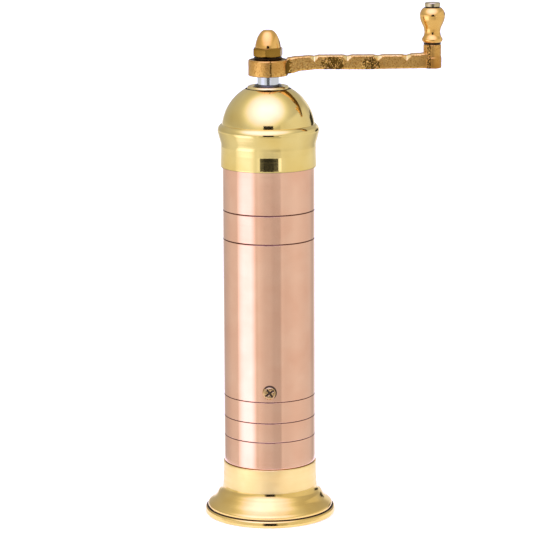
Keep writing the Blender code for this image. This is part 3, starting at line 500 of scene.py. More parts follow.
def build_lid():
    """Spun lid: a skirt that swells to a lip, a hemispherical dome and a turned collar."""
    edge = 0.25 * MM
    outline = swept_arc(SKIRT_R - edge, SKIRT_LOW + edge, edge, -90.0, 0.0, 4)
    outline += curved(shifted(LEAN, SKIRT_R, SKIRT_LOW))
    outline += curved(shifted(SWELL, SKIRT_R, SKIRT_LOW))
    bead = 3.3 * MM
    bead_z = SKIRT_LOW + 16.6 * MM
    outline += swept_arc(LIP_R - bead, bead_z, bead, -14.0, 60.0, 24)
    rise = math.degrees(math.asin((bead_z + bead * 0.86 + 0.1 * MM - DOME_Z) / DOME_R))
    fall = math.degrees(math.acos((COLLAR_R + 0.2 * MM) / DOME_R))
    outline += swept_arc(0.0, DOME_Z, DOME_R, rise, fall, 48)
    seam_z = DOME_Z + math.sqrt(DOME_R**2 - COLLAR_R**2)
    outline += [(COLLAR_R - 0.12 * MM, seam_z - 0.34 * MM), (COLLAR_R - 0.52 * MM, seam_z - 0.30 * MM)]
    ring = 1.2 * MM
    outline += swept_arc(COLLAR_R - 0.58 * MM - ring, COLLAR_TOP - ring, ring, -12.0, 95.0, 14)
    outline += [(COLLAR_HOLE + 0.3 * MM, COLLAR_TOP - 0.2 * MM), (COLLAR_HOLE, COLLAR_TOP - 0.5 * MM)]
    bore = DOME_R - LID_WALL
    crown_angle = math.degrees(math.asin((CROWN - DOME_Z) / bore))
    outline += [(COLLAR_HOLE, CROWN)]
    outline += swept_arc(0.0, DOME_Z, bore, crown_angle, 1.4, 20)
    outline += [(LIP_R - 1.0 * MM, LEDGE), (LIP_R - 0.8 * MM, LEDGE - 1.6 * MM)]
    outline += [(TUBE_R + FIT, SKIRT_LOW + 10.5 * MM), (TUBE_R + FIT, SKIRT_LOW)]

    # Painted shade: a dark ring on the dome round the collar's seam, and a dark line on the skirt's
    # lower edge
    def in_painted_shade(r, z, compass):
        if z > seam_z - 1.0 * MM:
            return COLLAR_R - 0.64 * MM < r < COLLAR_R + 0.3 * MM and z < seam_z + 0.12 * MM
        return r > SKIRT_R - 0.3 * MM and z < SKIRT_LOW + 0.16 * MM

    # The collar takes the paler buffed brass, partly a painted highlight
    def on_collar(r, z, compass):
        return r < COLLAR_R - 0.5 * MM and z > CROWN

    turned(
        "lid", outline, MILL_AXIS, FINE, "lid", ["lid_dome"], "pale_brass",
        SPUN_BRASS, PAINTED_SHADE, BUFFED_BRASS_HIGHLIGHT, marks=((2, on_collar), (1, in_painted_shade)),
    )


def build_bush():
    """Steel bush in the lid's top hole, stepped above and flanged below."""
    bush_top = top("lid_bush")
    bush_low = bottom("lid_bush")
    under = CROWN - FIT
    sleeve = COLLAR_HOLE - 0.25 * MM
    flange = half_width("lid_bush")
    inside = 5.2 * MM
    proud = bush_top - 0.45 * MM
    outline = [(inside, proud - 0.2 * MM), (inside + 0.25 * MM, proud), (inside + 0.75 * MM, proud)]
    outline += swept_arc(sleeve - 0.45 * MM, proud - 0.95 * MM, 0.45 * MM, 70.0, 0.0, 5)
    outline += [(sleeve, under)]
    outline += rounded(
        [(flange, under, 0.3 * MM), (flange, bush_low, 0.3 * MM), (inside, bush_low, 0.2 * MM)]
    )
    turned("bush", outline, MILL_AXIS, MEDIUM, "lid", ["lid_bush"], "dark_steel", DARK_STEEL)


# ---------------------------------------------------------------- spindle


def thread(work, axis, radius, low, high, pitch, depth, around=24):
    """A screw thread: one tooth's outline turned and raised round a core."""
    turns = int((high - low) / pitch) - 1
    tooth = [
        (radius - depth, low), (radius, low + pitch * 0.42), (radius, low + pitch * 0.58),
        (radius - depth, low + pitch),
    ]
    verts = [work.verts.new((axis.x + r, axis.y, z)) for r, z in tooth]
    edges = [work.edges.new(pair) for pair in zip(verts, verts[1:])]
    bmesh.ops.spin(
        work, geom=verts + edges, cent=axis, axis=(0.0, 0.0, 1.0), angle=2 * math.pi * turns,
        dvec=(0.0, 0.0, pitch / around), steps=around * turns, use_duplicate=False,
    )


def build_spindle():
    """Ground spindle: a thick journal in the lid, a square for the crank and a thread."""
    low = bottom("spindle")
    high = top("spindle")
    journal = 4.9 * MM
    journal_top = bottom("crank_arm") - FIT
    journal_low = LID_TOP - 12.5 * MM
    rod = 3.0 * MM
    core = 2.1 * MM
    edge = 0.25 * MM
    outline = [(0.0, high), (core - 0.3 * MM, high), (core, high - 0.4 * MM), (core, journal_top)]
    outline += swept_arc(journal - edge, journal_top - edge, edge, 90.0, 0.0, 4)
    outline += [(journal, journal_low), (rod, journal_low - 1.9 * MM), (rod, low + 0.4 * MM)]
    outline += [(rod - 0.4 * MM, low), (0.0, low)]
    work = bmesh.new()
    spun(work, outline, MILL_AXIS, MEDIUM, closed=False)
    square_low = journal_top - 0.5 * MM
    square_high = journal_top + 6.8 * MM
    across_flats = 6.0 * MM
    place = Matrix.Translation(MILL_AXIS + Vector((0.0, 0.0, (square_low + square_high) / 2)))
    scale = Matrix.Diagonal((across_flats, across_flats, square_high - square_low, 1.0))
    cube = bmesh.ops.create_cube(work, size=1.0, matrix=place @ scale)
    bmesh.ops.bevel(
        work, geom=[e for e in work.edges if set(e.verts) <= set(cube["verts"])],
        offset=0.2 * MM, segments=2, affect="EDGES", profile=0.5, material=-1,
    )
    thread(
        work, MILL_AXIS, radius=2.5 * MM, low=square_high - 0.2 * MM, high=high - 0.2 * MM,
        pitch=0.8 * MM, depth=0.42 * MM,
    )
    keep("spindle_rod", work, "spindle_set", ["spindle"], "bright_steel", BRIGHT_STEEL)


def build_spring():
    """Wire spring between its cup and the guide."""
    wire = 0.55 * MM  # its radius
    turns = 4
    around = 24
    coil = half_width("pressure_spring") - wire
    low = bottom("pressure_spring")
    high = top("pressure_spring")
    rise = (high - low - 2 * wire) / turns
    work = bmesh.new()
    start = MILL_AXIS + Vector((coil, 0.0, low + wire))
    stand = Matrix.Translation(start) @ Matrix.Rotation(math.pi / 2, 4, "X")
    bmesh.ops.create_circle(work, segments=12, radius=wire, cap_ends=False, matrix=stand)
    bmesh.ops.spin(
        work, geom=list(work.verts) + list(work.edges), cent=MILL_AXIS, axis=(0.0, 0.0, 1.0),
        angle=2 * math.pi * turns, dvec=(0.0, 0.0, rise / around), steps=around * turns,
        use_duplicate=False,
    )
    bmesh.ops.holes_fill(work, edges=[e for e in work.edges if e.is_boundary])
    piece = keep(
        "spring", work, "mill_body", ["pressure_spring"], "bright_steel", BRIGHT_STEEL, sharp=50.0,
    )
    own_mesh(piece)


# ---------------------------------------------------------------- crank, washer, nut and knob

BOSS_LOW = bottom("crank_arm")
BOSS_TOP = BOSS_LOW + 6.8 * MM
BOSS_R = 9.0 * MM
ARM_LOW = BOSS_LOW + 2.6 * MM
ARM_HIGH = ARM_LOW + 6.6 * MM
POST_TOP = top("crank_arm")
POST_R = 4.02 * MM
LUG_R = 4.25 * MM
# Where the casting's skin is rough: the middle of each patch from the mill's axis, and its reach
PITTED = ((29.0 * MM, 6.2 * MM), (46.6 * MM, 4.8 * MM))
DIPS = (20.9 * MM, 35.9 * MM, 49.6 * MM, 62.6 * MM)  # where the file cut, from the mill's axis
FILE_REACH = 2.3 * MM  # how far each cut runs out to either side
COARSE_GRIT = 700.0  # the mould's sand, as bumps to the metre
FINE_GRIT = 1900.0
ARM_START = 6.4 * MM
ARM_END = REACH - 1.0 * MM
# The arm's underside, top and half thickness, each at places from the mill's axis
ARM_UNDER = (
    (8.0 * MM, BOSS_LOW + 0.6 * MM), (10.0 * MM, BOSS_LOW + 0.9 * MM),
    (15.5 * MM, ARM_LOW - 0.5 * MM), (22.0 * MM, ARM_LOW + 0.05 * MM),
    (44.0 * MM, ARM_LOW - 0.1 * MM), (58.0 * MM, ARM_LOW + 0.15 * MM),
    (REACH, ARM_LOW + 0.35 * MM),
)
ARM_TOP = (
    (7.6 * MM, BOSS_TOP - 0.2 * MM), (9.2 * MM, ARM_HIGH - 1.35 * MM),
    (13.0 * MM, ARM_HIGH - 0.85 * MM), (22.0 * MM, ARM_HIGH - 0.25 * MM),
    (60.0 * MM, ARM_HIGH - 0.2 * MM), (68.5 * MM, ARM_HIGH + 0.30 * MM),
    (71.5 * MM, ARM_HIGH + 0.75 * MM),
)
ARM_HALF = (
    (8.0 * MM, 4.3 * MM), (10.5 * MM, 3.35 * MM), (14.0 * MM, 3.15 * MM), (45.0 * MM, 3.05 * MM),
    (70.0 * MM, 3.2 * MM),
)
# How far round half of the arm's section each corner of it lies, from the middle of the underside
SECTION_SHARES = (0.0, 0.10, 0.135, 0.17, 0.26, 0.35, 0.425, 0.44, 0.5)


def between(value, points):
    """The height of a smooth line through (place, height) points, at value."""
    if value <= points[0][0]:
        return points[0][1]
    for (a, p), (b, q) in zip(points, points[1:]):
        if value <= b:
            t = (value - a) / (b - a)
            return p + (q - p) * t * t * (3 - 2 * t)
    return points[-1][1]


def arm_shape(x):
    """Underside, top, half thickness and chamfer of the arm, at x from the mill's axis."""
    under = between(x, ARM_UNDER)
    high = between(x, ARM_TOP)
    half = between(x, ARM_HALF)
    near = min(abs(x - dip) for dip in DIPS)
    cut = max(0.0, 1.0 - near / FILE_REACH)
    high -= 0.40 * MM * cut ** 1.3
    chamfer = 0.50 * MM + 1.80 * MM * cut ** 1.1
    if x < 12.0 * MM or x > 67.0 * MM:
        chamfer = 0.6 * MM
    return under, high, half, chamfer


def section_place(share, under, high, half, chamfer):
    """Sideways and upward place on the arm's section at a share of the way round it, and the share
    of the nearer half."""
    round_r = 0.7 * MM
    shoulder = half - chamfer * 0.62
    side = [
        (0.0, under), (half - round_r, under), (half - 0.25 * round_r, under + 0.25 * round_r),
        (half, under + round_r), (half, (under + high) / 2), (half, high - chamfer),
        (shoulder, high - 0.12 * MM), (shoulder - 0.35 * MM, high), (0.0, high),
    ]
    mirrored = share > 0.5
    place = 1.0 - share if mirrored else share
    corners = list(zip(SECTION_SHARES, side))
    for (a, p), (b, q) in zip(corners, corners[1:]):
        if place <= b + 1e-9:
            t = (place - a) / (b - a)
            y = p[0] + (q[0] - p[0]) * t
            z = p[1] + (q[1] - p[1]) * t
            break
    return y if mirrored else -y, z, place


def arm_grid():
    """The arm as a grid wrapped round its section, with the roughness of the mould's sand."""
    arm = bmesh.new()
    bmesh.ops.create_grid(arm, x_segments=320, y_segments=84, size=1.0)
    for vert in list(arm.verts):
        x = ARM_START + (ARM_END - ARM_START) * (vert.co.x + 1) / 2
        under, high, half, chamfer = arm_shape(x)
        y, z, place = section_place((vert.co.y + 1) / 2, under, high, half, chamfer)
        spot = Vector((x, y, z))
        grit = noise.noise(spot * COARSE_GRIT) * 0.10 * MM + noise.noise(spot * FINE_GRIT) * 0.05 * MM
        pit = max(1.0 - abs(x - centre) / reach for centre, reach in PITTED)
        if pit > 0.0 and 0.15 < place < 0.40:
            hollow = noise.voronoi(spot * 750.0)[0][0]
            grit -= min(pit * 2.2, 1.0) * max(0.55 - hollow, 0.0) * 0.9 * MM
        if abs(y) > half * 0.98:
            y += math.copysign(grit, y)
        else:
            z += grit * 0.5
        vert.co = MILL_AXIS + Vector((x, y, z))
    bmesh.ops.remove_doubles(arm, verts=arm.verts, dist=0.01 * MM)
    bmesh.ops.holes_fill(arm, edges=[e for e in arm.edges if e.is_boundary])
    return arm


def finish_arm(arm):
    """Marks the filed chamfers bright, partly as a painted highlight, the pits dark, and the underside
    and the arm's root dark as painted shade.
    """
    for face in arm.faces:
        spot = face.calc_center_median() - MILL_AXIS
        under, high, half, chamfer = arm_shape(spot.x)
        on_bevel = high - chamfer * 0.93 < spot.z < high - 0.06 * MM
        on_crest = on_bevel and spot.z > high - 0.24 * MM
        filed = chamfer > 0.95 * MM or (on_crest and spot.x > 20.0 * MM)
        # Filed chamfers: paler brass, partly a painted highlight
        if on_bevel and filed and 10.0 * MM < spot.x < 70.0 * MM:
            face.material_index = 1
            continue
        # The underside is painted dark as shade
        if spot.z < under + 0.2 * MM:
            face.material_index = 2
            continue
        tall = (spot.z - under) / 6.0 / MM - 0.4
        pit = max(
            1.0 - math.hypot((spot.x - centre) / reach, tall * 1.3) for centre, reach in PITTED
        )
        # Dark patches: the pits are the casting's own skin, and the arm's root by the boss is painted
        # shade
        root = max(1.0 - abs(spot.x - 8.9 * MM) / (1.9 * MM), 0.0)
        pit_stain_and_root_shade = min(max(pit, 0.0) * 1.9, 0.60) + root * 1.1
        speckle = noise.noise(spot * FINE_GRIT) * 0.7 + noise.noise(spot * 800.0) * 0.4
        on_side = spot.z < high - chamfer
        if on_side and pit_stain_and_root_shade > 0.02 and speckle + pit_stain_and_root_shade > 0.44:
            face.material_index = 2


def cut_upright(part):
    """Cuts long upright runs into short ones, so that they can be marked and roughened."""
    bmesh.ops.subdivide_edges(
        part, cuts=20,
        edges=[e for e in part.edges if abs(e.verts[0].co.z - e.verts[1].co.z) > 3 * MM],
    )


def boss_barrel():
    """The boss, spot-faced for the washer. Its seat under the nut, its underside and its side toward
    the arm are painted dark as shade, patchy along that side."""
    hole = 3.3 * MM
    seat = 7.3 * MM
    rim = BOSS_TOP + 0.3 * MM
    foot_z = BOSS_LOW - 0.25 * MM
    outline = rounded(
        [(hole, BOSS_TOP, 0.0), (seat, BOSS_TOP, 0.0), (seat + 0.3 * MM, rim, 0.0),
         (BOSS_R, rim, 0.75 * MM), (BOSS_R, foot_z, 0.40 * MM), (hole, foot_z, 0.0)]
    )
    barrel = bmesh.new()
    spun(barrel, outline, MILL_AXIS, FINE)
    cut_upright(barrel)

    # Painted shade: the seat under the nut, the underside, and in patches the side toward the arm
    def shaded_boss_face(r, z, compass):
        if r < 8.3 * MM or z < foot_z + 0.1 * MM:
            return True
        spot = Vector((compass * 0.5, z * 1500.0, 9.0))
        return 66.0 < compass < 100.0 and noise.noise(spot) > -0.30

    mark(barrel, MILL_AXIS, 2, shaded_boss_face)
    return barrel


def post_stem():
    """The knob's post, standing in a rounded lug at the arm's end."""
    lug_top = ARM_HIGH - 0.6 * MM
    outline = [(0.0, POST_TOP - 0.2 * MM), (POST_R - 0.5 * MM, POST_TOP - 0.05 * MM)]
    outline += swept_arc(POST_R - 0.4 * MM, POST_TOP - 0.4 * MM, 0.4 * MM, 80.0, 0.0, 4)
    outline += [(POST_R, lug_top)]
    outline += swept_arc(LUG_R - 0.5 * MM, lug_top - 1.2 * MM, 0.5 * MM, 45.0, 0.0, 3)
    outline += swept_arc(LUG_R - 0.6 * MM, ARM_LOW + 0.8 * MM, 0.6 * MM, 0.0, -80.0, 4)
    outline += [(0.0, ARM_LOW + 0.2 * MM)]
    stem = bmesh.new()
    spun(stem, outline, KNOB_AXIS, 96, closed=False)
    cut_upright(stem)
    return stem


def add_parting_line(part, axis, reach, seam, wide):
    """Roughens a round part of the casting and marks the mould's parting line, filed off roughly,
    at the compass place seam and wide degrees to either side."""
    for vert in part.verts:
        out = Vector((vert.co.x - axis.x, vert.co.y - axis.y, 0.0))
        compass = math.degrees(math.atan2(out.x, -out.y))
        near = max(0.0, 1.0 - abs(compass - seam) / (wide * 1.4))
        if out.length > reach - 0.6 * MM:
            rough = noise.noise(vert.co * 1500.0) * 0.16 * near
            rough += noise.noise(vert.co * COARSE_GRIT) * 0.05
            vert.co += out.normalized() * rough * MM

    def on_seam(r, z, compass):
        if r <= reach - 0.5 * MM or abs(compass - seam) >= wide:
            return False
        return noise.noise(Vector((compass * 0.35, z * 1400.0, 3.0))) > -0.12

    mark(part, axis, 2, on_seam)


def build_crank():
    """One casting: a boss on the square, a scalloped arm filed along its top edge, its filed cuts
    paler as a painted highlight, and a post for the knob."""
    work = arm_grid()
    finish_arm(work)
    for part, axis, reach, seam, wide in (
        (boss_barrel(), MILL_AXIS, BOSS_R, 7.5, 3.4), (post_stem(), KNOB_AXIS, POST_R, -24.0, 13.0),
    ):
        add_parting_line(part, axis, reach, seam, wide)
        shell = bpy.data.meshes.new("casting")
        part.to_mesh(shell)
        part.free()
        work.from_mesh(shell)
        bpy.data.meshes.remove(shell)
    keep(
        "crank", work, "crank", ["crank_arm"], "cast_brass", CAST_BRASS, BUFFED_BRASS_HIGHLIGHT, CAST_SKIN_AND_SHADE,
        sharp=38.0,
    )


def build_nut():
    """Acorn nut: a hexagon with turned corners under a tall dome."""
    low = bottom("acorn_nut")
    high = top("acorn_nut")
    flats = 12.3 * MM
    hex_high = low + 4.2 * MM
    corner = flats / 2 / math.cos(math.pi / 6)
    work = bmesh.new()
    place = Matrix.Translation(MILL_AXIS + Vector((0.0, 0.0, (low + hex_high) / 2)))
    turn = Matrix.Rotation(math.radians(-9.3), 4, "Z")  # where tightening left it
    bmesh.ops.create_cone(
        work, cap_ends=True, segments=6, radius1=corner, radius2=corner, depth=hex_high - low,
        matrix=place @ turn,
    )
    bmesh.ops.bevel(
        work, geom=list(work.edges), offset=0.16 * MM, segments=2, affect="EDGES", profile=0.5,
        material=-1,
    )
    bmesh.ops.subdivide_edges(work, edges=list(work.edges), cuts=2, use_grid_fill=True)
    for vert in work.verts:
        reach = math.hypot(vert.co.x - MILL_AXIS.x, vert.co.y - MILL_AXIS.y)
        drop = max(0.0, reach - flats / 2 + 0.05 * MM) * 0.5
        if vert.co.z > hex_high - 0.5 * MM:
            vert.co.z -= drop
        if vert.co.z < low + 0.5 * MM:
            vert.co.z += drop
    # The hexagon takes the darker milled brass, its darkness a painted shade
    for face in work.faces:
        face.material_index = 1
    tall = high - hex_high
    wide = flats / 2 - 0.25 * MM
    skirt = hex_high - 0.3 * MM  # the dome's lower end, inside the hexagon
    shape = [(0.42, 0.955), (0.57, 0.86), (0.74, 0.67), (0.87, 0.44), (0.965, 0.18)]
    dome = [(0.0, high), (wide * 0.28, high - 0.02 * MM)]
    dome += [(wide * r, hex_high + tall * z) for r, z in shape]
    outline = curved(dome + [(wide, hex_high)], 6)
    outline += [(wide, skirt), (0.0, skirt)]
    spun(work, outline, MILL_AXIS, MEDIUM, closed=False)
    keep("cap_nut", work, "nut", ["acorn_nut"], "red_brass", RED_BRASS, SHADED_MILLED_BRASS)


def build_nut_washer():
    """Plain washer on the boss, a little wider than the nut."""
    low = bottom("nut_washer")
    high = top("nut_washer")
    wide = half_width("nut_washer") + 0.55 * MM
    bore = 2.8 * MM
    outline = rounded(
        [(bore, high, 0.0), (wide, high, 0.25 * MM), (wide, low, 0.2 * MM), (bore, low, 0.0)]
    )
    # Its dark brown stands as a painted shadow under the nut
    turned(
        "washer", outline, MILL_AXIS, MEDIUM, "nut_carrier", ["nut_washer"], "dark_steel",
        BROWNED_STEEL_AND_SHADOW,
    )


KNOB_BORE = 2.05 * MM
KNOB_LOW = bottom("crank_knob")
KNOB_HIGH = top("crank_knob")
PIN_R = 1.75 * MM
# The knob's outline as shares of its widest radius and of its height
KNOB_SHAPE = (
    (0.62, 1.0), (0.74, 0.985), (0.90, 0.915), (0.985, 0.835), (1.0, 0.75), (0.955, 0.65),
    (0.845, 0.54), (0.715, 0.44), (0.655, 0.36), (0.64, 0.28), (0.675, 0.20), (0.765, 0.135),
    (0.825, 0.085), (0.80, 0.035), (0.72, 0.0),
)


def build_knob():
    """Turned knob with a bulb, a waist and a flared foot."""
    tall = KNOB_HIGH - KNOB_LOW
    widest = half_width("crank_knob") * 0.996
    outline = curved([(widest * r, KNOB_LOW + tall * z) for r, z in KNOB_SHAPE], 5)
    outline += [(KNOB_BORE, KNOB_LOW), (KNOB_BORE, KNOB_HIGH)]

    # The knob's flat top under the pin's head is painted dark as shade
    def on_top(r, z, compass):
        return z > KNOB_HIGH - 0.10 * MM

    turned(
        "knob_grip", outline, KNOB_AXIS, MEDIUM, "knob", ["crank_knob"], "red_brass",
        KNOB_BRASS, PAINTED_SHADE, marks=((1, on_top),),
    )


def build_knob_pin():
    """Headed pin that the knob spins on, and the thin washer between the knob and its post."""
    pin_high = top("knob_pin")
    pin_low = bottom("knob_pin")
    head = half_width("knob_pin")
    under = KNOB_HIGH + FIT
    outline = [(0.0, pin_high)]
    outline += swept_arc(head - 0.5 * MM, pin_high - 0.5 * MM, 0.5 * MM, 88.0, 0.0, 5)
    outline += [(head, under + 0.2 * MM), (head - 0.2 * MM, under), (PIN_R, under)]
    outline += [(PIN_R, pin_low + 0.3 * MM), (1.45 * MM, pin_low), (0.0, pin_low)]
    turned(
        "pin", outline, KNOB_AXIS, 48, "crank", ["knob_pin"], "red_brass", PIN_METAL, closed=False
    )

    washer_low = bottom("knob_washer")
    washer_high = top("knob_washer")
    outline = rounded(
        [(KNOB_BORE, washer_high, 0.0), (POST_R, washer_high, 0.12 * MM),
         (POST_R, washer_low, 0.12 * MM), (KNOB_BORE, washer_low, 0.0)], 3,
    )
    # Its dark brown stands as a painted shadow under the knob
    turned(
        "thin_washer", outline, KNOB_AXIS, 48, "crank", ["knob_washer"], "dark_steel",
        BROWNED_STEEL_AND_SHADOW,
    )


build_foot()
build_tube()
for number in (1, 2, 3):
    build_side_screw(number, -math.pi / 2 + 2 * math.pi * (number - 1) / 3)
build_lid()
build_bush()
build_spindle()
build_spring()
build_crank()
build_nut()
build_nut_washer()
build_knob()
build_knob_pin()

# CAD nodes that keep their own shape
KEPT = {
    "grinder_housing": DIE_CAST, "spindle_guide": DIE_CAST, "bottom_bridge": DIE_CAST,
    "outer_burr": BURR_STEEL, "inner_burr": BURR_STEEL, "burr_clip": DARK_STEEL,
    "spring_cup": BRIGHT_STEEL, "bridge_screw_1": BRIGHT_STEEL,
    "bridge_screw_2": BRIGHT_STEEL, "thrust_ball": BRIGHT_STEEL, "lock_nut": BRIGHT_STEEL,
    "adjusting_screw": GOLD_BRASS,
}
for node_name, node_metal in KEPT.items():
    kept_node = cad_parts[node_name]
    if not kept_node.data.materials:
        kept_node.data.materials.append(node_metal)
    for slot_index in range(len(kept_node.material_slots)):
        kept_node.material_slots[slot_index].material = node_metal

# ---------------------------------------------------------------- studio

# Light round the mill by compass, as shares of a turn: 0.5 faces the front, less is to the left.
# Each pair is a place and a brightness.
LOW_LIGHT = (
    (0.00, 1.0), (0.05, 0.95), (0.075, 0.52), (0.106, 0.58), (0.158, 0.67), (0.197, 0.76),
    (0.258, 0.80), (0.268, 1.15), (0.290, 1.50), (0.314, 1.70), (0.370, 1.70), (0.390, 1.35),
    (0.402, 1.02), (0.412, 0.80), (0.428, 0.88), (0.440, 0.82), (0.469, 0.72), (0.511, 0.67),
    (0.531, 0.60), (0.580, 0.59), (0.587, 0.80), (0.617, 0.77), (0.686, 0.83), (0.714, 0.83),
    (0.769, 0.78), (0.842, 0.72), (0.880, 0.58), (0.905, 0.52), (0.935, 0.9), (1.00, 1.0),
)
# Brightness of the round lamp's glow and the room, by how far a direction turns from the lamp:
# 1 is straight into it, 0 is straight away from it.
LAMP_GLOW = (
    (0.00, 0.42), (0.25, 0.48), (0.55, 0.53), (0.70, 0.60), (0.77, 0.68), (0.81, 0.80),
    (0.845, 0.98), (0.875, 1.12), (0.91, 1.25), (0.95, 1.42), (0.98, 1.60), (1.00, 1.70),
)
BRIGHTEST = 2.5
# A black box stands in front, upright, on a wider stand with bright edges. Each row has the ends
# of its compass, as shares of a turn, the ends of its height, in degrees, and its brightness.
FRONT_BOX = (
    (0.466, 0.534, -7.6, 15.0, 0.01), (0.443, 0.565, -6.7, -2.5, 0.01),
    (0.567, 0.586, -7.2, -2.0, 1.3), (0.426, 0.441, -7.2, -2.0, 1.0),
)


def lit(level, blue=0.28, full=1.55):
    """A brightness as a colour. The brightest lights are daylight lamps, bluer up to full."""
    cool = 1 + blue * min(max((level - 0.95) / (full - 0.95), 0.0), 1.0)
    return (level / BRIGHTEST, level / BRIGHTEST, level * cool / BRIGHTEST, 1.0)


def toward(compass, height):
    """The direction at compass degrees, 0 at the front and negative to the left, and height."""
    a = math.radians(compass)
    e = math.radians(height)
    return (math.sin(a) * math.cos(e), -math.cos(a) * math.cos(e), math.sin(e))


def area(tree, *ranges):
    """1 where every value lies between its two ends, else 0."""
    inside = 1.0
    for value, low, high in ranges:
        for limit, side in ((low, "GREATER_THAN"), (high, "LESS_THAN")):
            test = add(tree, "ShaderNodeMath", {0: value, 1: limit}, operation=side).outputs[0]
            both = add(tree, "ShaderNodeMath", {0: inside, 1: test}, operation="MULTIPLY")
            inside = both.outputs[0]
    return inside


def slope(tree, value, start, end):
    """0 to 1 as value goes from start to end, in degrees."""
    return add(
        tree, "ShaderNodeMapRange",
        {"Value": value, "From Min": math.radians(start), "From Max": math.radians(end)},
        interpolation_type="SMOOTHSTEP",
    ).outputs[0]


def blend(tree, light, other, share, most=1.0):
    """light, or other where share is 1, up to most of it."""
    if most < 1.0:
        share = add(tree, "ShaderNodeMath", {0: share, 1: most}, operation="MULTIPLY").outputs[0]
    return add(
        tree, "ShaderNodeMixRGB", {"Fac": share, "Color1": light, "Color2": other}
    ).outputs[0]


def build_studio():
    """Light from all round: low walls by compass, a lamp's glow above, black cards and the table.
    The camera sees plain white behind the mill."""
    world = bpy.data.worlds.new("studio")
    bpy.context.scene.world = world
    world.use_nodes = True
    tree = world.node_tree
    tree.nodes.clear()
    way = add(tree, "ShaderNodeTexCoord").outputs["Generated"]
    parts = add(tree, "ShaderNodeSeparateXYZ", {"Vector": way})
    x, y, z = parts.outputs
    front = add(tree, "ShaderNodeMath", {0: y, 1: -1.0}, operation="MULTIPLY").outputs[0]
    angle = add(tree, "ShaderNodeMath", {0: x, 1: front}, operation="ARCTAN2").outputs[0]
    turn = add(
        tree, "ShaderNodeMapRange", {"Value": angle, "From Min": -math.pi, "From Max": math.pi}
    ).outputs[0]
    rise = add(tree, "ShaderNodeMath", {0: z}, operation="ARCSINE").outputs[0]
    low_band = add(tree, "ShaderNodeValToRGB", {"Fac": turn})
    fill_ramp(low_band, [(place, lit(level)) for place, level in LOW_LIGHT])
    facing = add(
        tree, "ShaderNodeVectorMath", {0: way, 1: toward(-14.0, 56.0)}, operation="DOT_PRODUCT"
    ).outputs["Value"]
    share = add(tree, "ShaderNodeMapRange", {"Value": facing, "From Min": -1.0}).outputs[0]
    glow = add(tree, "ShaderNodeValToRGB", {"Fac": share})
    fill_ramp(glow, [(place, lit(level, 0.85, 1.3)) for place, level in LAMP_GLOW])

    # A white wall on the right carries the low light higher there
    right = add(tree, "ShaderNodeMath", {0: x, 1: 0.0}, operation="MAXIMUM").outputs[0]
    lift = add(tree, "ShaderNodeMath", {0: right, 1: 0.55}, operation="MULTIPLY").outputs[0]
    level = add(tree, "ShaderNodeMath", {0: rise, 1: lift}, operation="SUBTRACT").outputs[0]
    light = blend(
        tree, low_band.outputs[0], glow.outputs[0], slope(tree, level, -4.0, 5.0)
    )
    # At the lid's height the room is paler and more even
    light = blend(
        tree, light, lit(0.90),
        area(tree, (rise, math.radians(-8.98), math.radians(-4.0))), 0.62,
    )
    # A black flag stands behind on the right and darkens that edge of round things
    light = blend(
        tree, light, lit(0.04),
        area(tree, (turn, 0.868, 0.925), (rise, math.radians(-4.0), math.radians(6.5))),
    )
    for left, right_end, low, high, brightness in FRONT_BOX:
        light = blend(
            tree, light, lit(brightness),
            area(tree, (turn, left, right_end), (rise, math.radians(low), math.radians(high))),
        )
    # From below comes light off the pale table
    all_round = blend(tree, light, lit(0.85), slope(tree, rise, -22.0, -40.0))
    soft = add(tree, "ShaderNodeBackground", {"Color": all_round, "Strength": BRIGHTEST})
    plain = add(tree, "ShaderNodeBackground", {"Color": (1.0, 1.0, 1.0, 1.0), "Strength": 1.0})
    seen = add(tree, "ShaderNodeLightPath").outputs["Is Camera Ray"]
    both = add(tree, "ShaderNodeMixShader", {"Fac": seen, 1: soft.outputs[0], 2: plain.outputs[0]})
    add(tree, "ShaderNodeOutputWorld", {"Surface": both.outputs[0]})


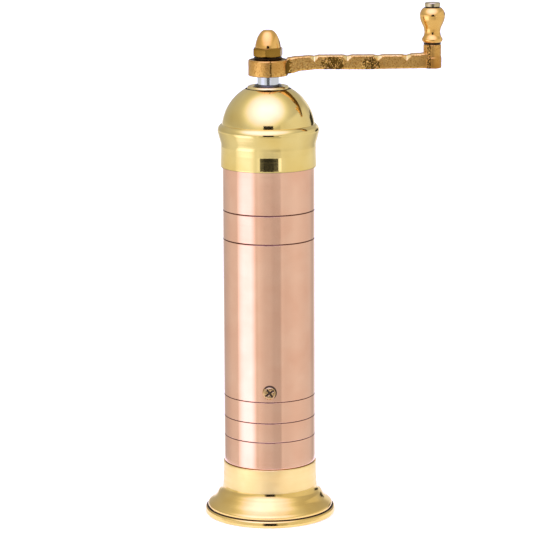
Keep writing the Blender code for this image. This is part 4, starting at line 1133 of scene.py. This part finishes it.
def build_floor():
    """A wide white table, and a white card on it that the foot's brass reflects."""
    paper = bpy.data.materials.new("white_paper")
    paper.use_nodes = True
    tree = paper.node_tree
    tree.nodes.clear()
    spread = add(tree, "ShaderNodeBsdfDiffuse", {"Color": colour("#FFFFFF")})
    glow = add(tree, "ShaderNodeEmission", {"Color": colour("#FFFFFF"), "Strength": 0.35})
    both = add(tree, "ShaderNodeAddShader", {0: spread.outputs[0], 1: glow.outputs[0]})
    add(tree, "ShaderNodeOutputMaterial", {"Surface": both.outputs[0]})

    table = bmesh.new()
    bmesh.ops.create_grid(
        table, x_segments=1, y_segments=1, size=3.0, matrix=Matrix.Translation((0.0, 0.0, -0.6 * MM))
    )
    card = bmesh.new()
    bmesh.ops.create_circle(
        card, cap_ends=True, segments=96, radius=105 * MM,
        matrix=Matrix.Translation(MILL_AXIS + Vector((0.0, 0.0, -0.1 * MM))),
    )
    for name, work in (("table_top", table), ("white_card", card)):
        mesh = bpy.data.meshes.new(name)
        work.to_mesh(mesh)
        work.free()
        mesh.materials.append(paper)
        sheet = bpy.data.objects.new(name, mesh)
        sheet.visible_glossy = name == "white_card"  # the table itself is kept out of the brass
        bpy.context.scene.collection.objects.link(sheet)


def build_camera():
    """A long lens from the front, looking a little down on the mill."""
    target = Vector((MILL_AXIS.x - 1.145 * MM, 0.0, 116.1 * MM))
    rise = math.radians(11.1)
    away = 1.212
    back = Vector((0.0, -math.cos(rise), math.sin(rise)))
    lens = bpy.data.cameras.new("camera")
    lens.lens = 178.3
    lens.sensor_width = 36.0
    lens.clip_start = 0.05
    lens.clip_end = 20.0
    camera = bpy.data.objects.new("camera", lens)
    bpy.context.scene.collection.objects.link(camera)
    roll = Matrix.Rotation(math.radians(-0.28), 4, "Z")  # a touch off level
    look = (-back).to_track_quat("-Z", "Y").to_matrix().to_4x4()
    camera.matrix_world = Matrix.Translation(target + back * away) @ look @ roll
    bpy.context.scene.camera = camera


build_studio()
build_floor()
build_camera()
bpy.context.scene.view_settings.view_transform = "Standard"
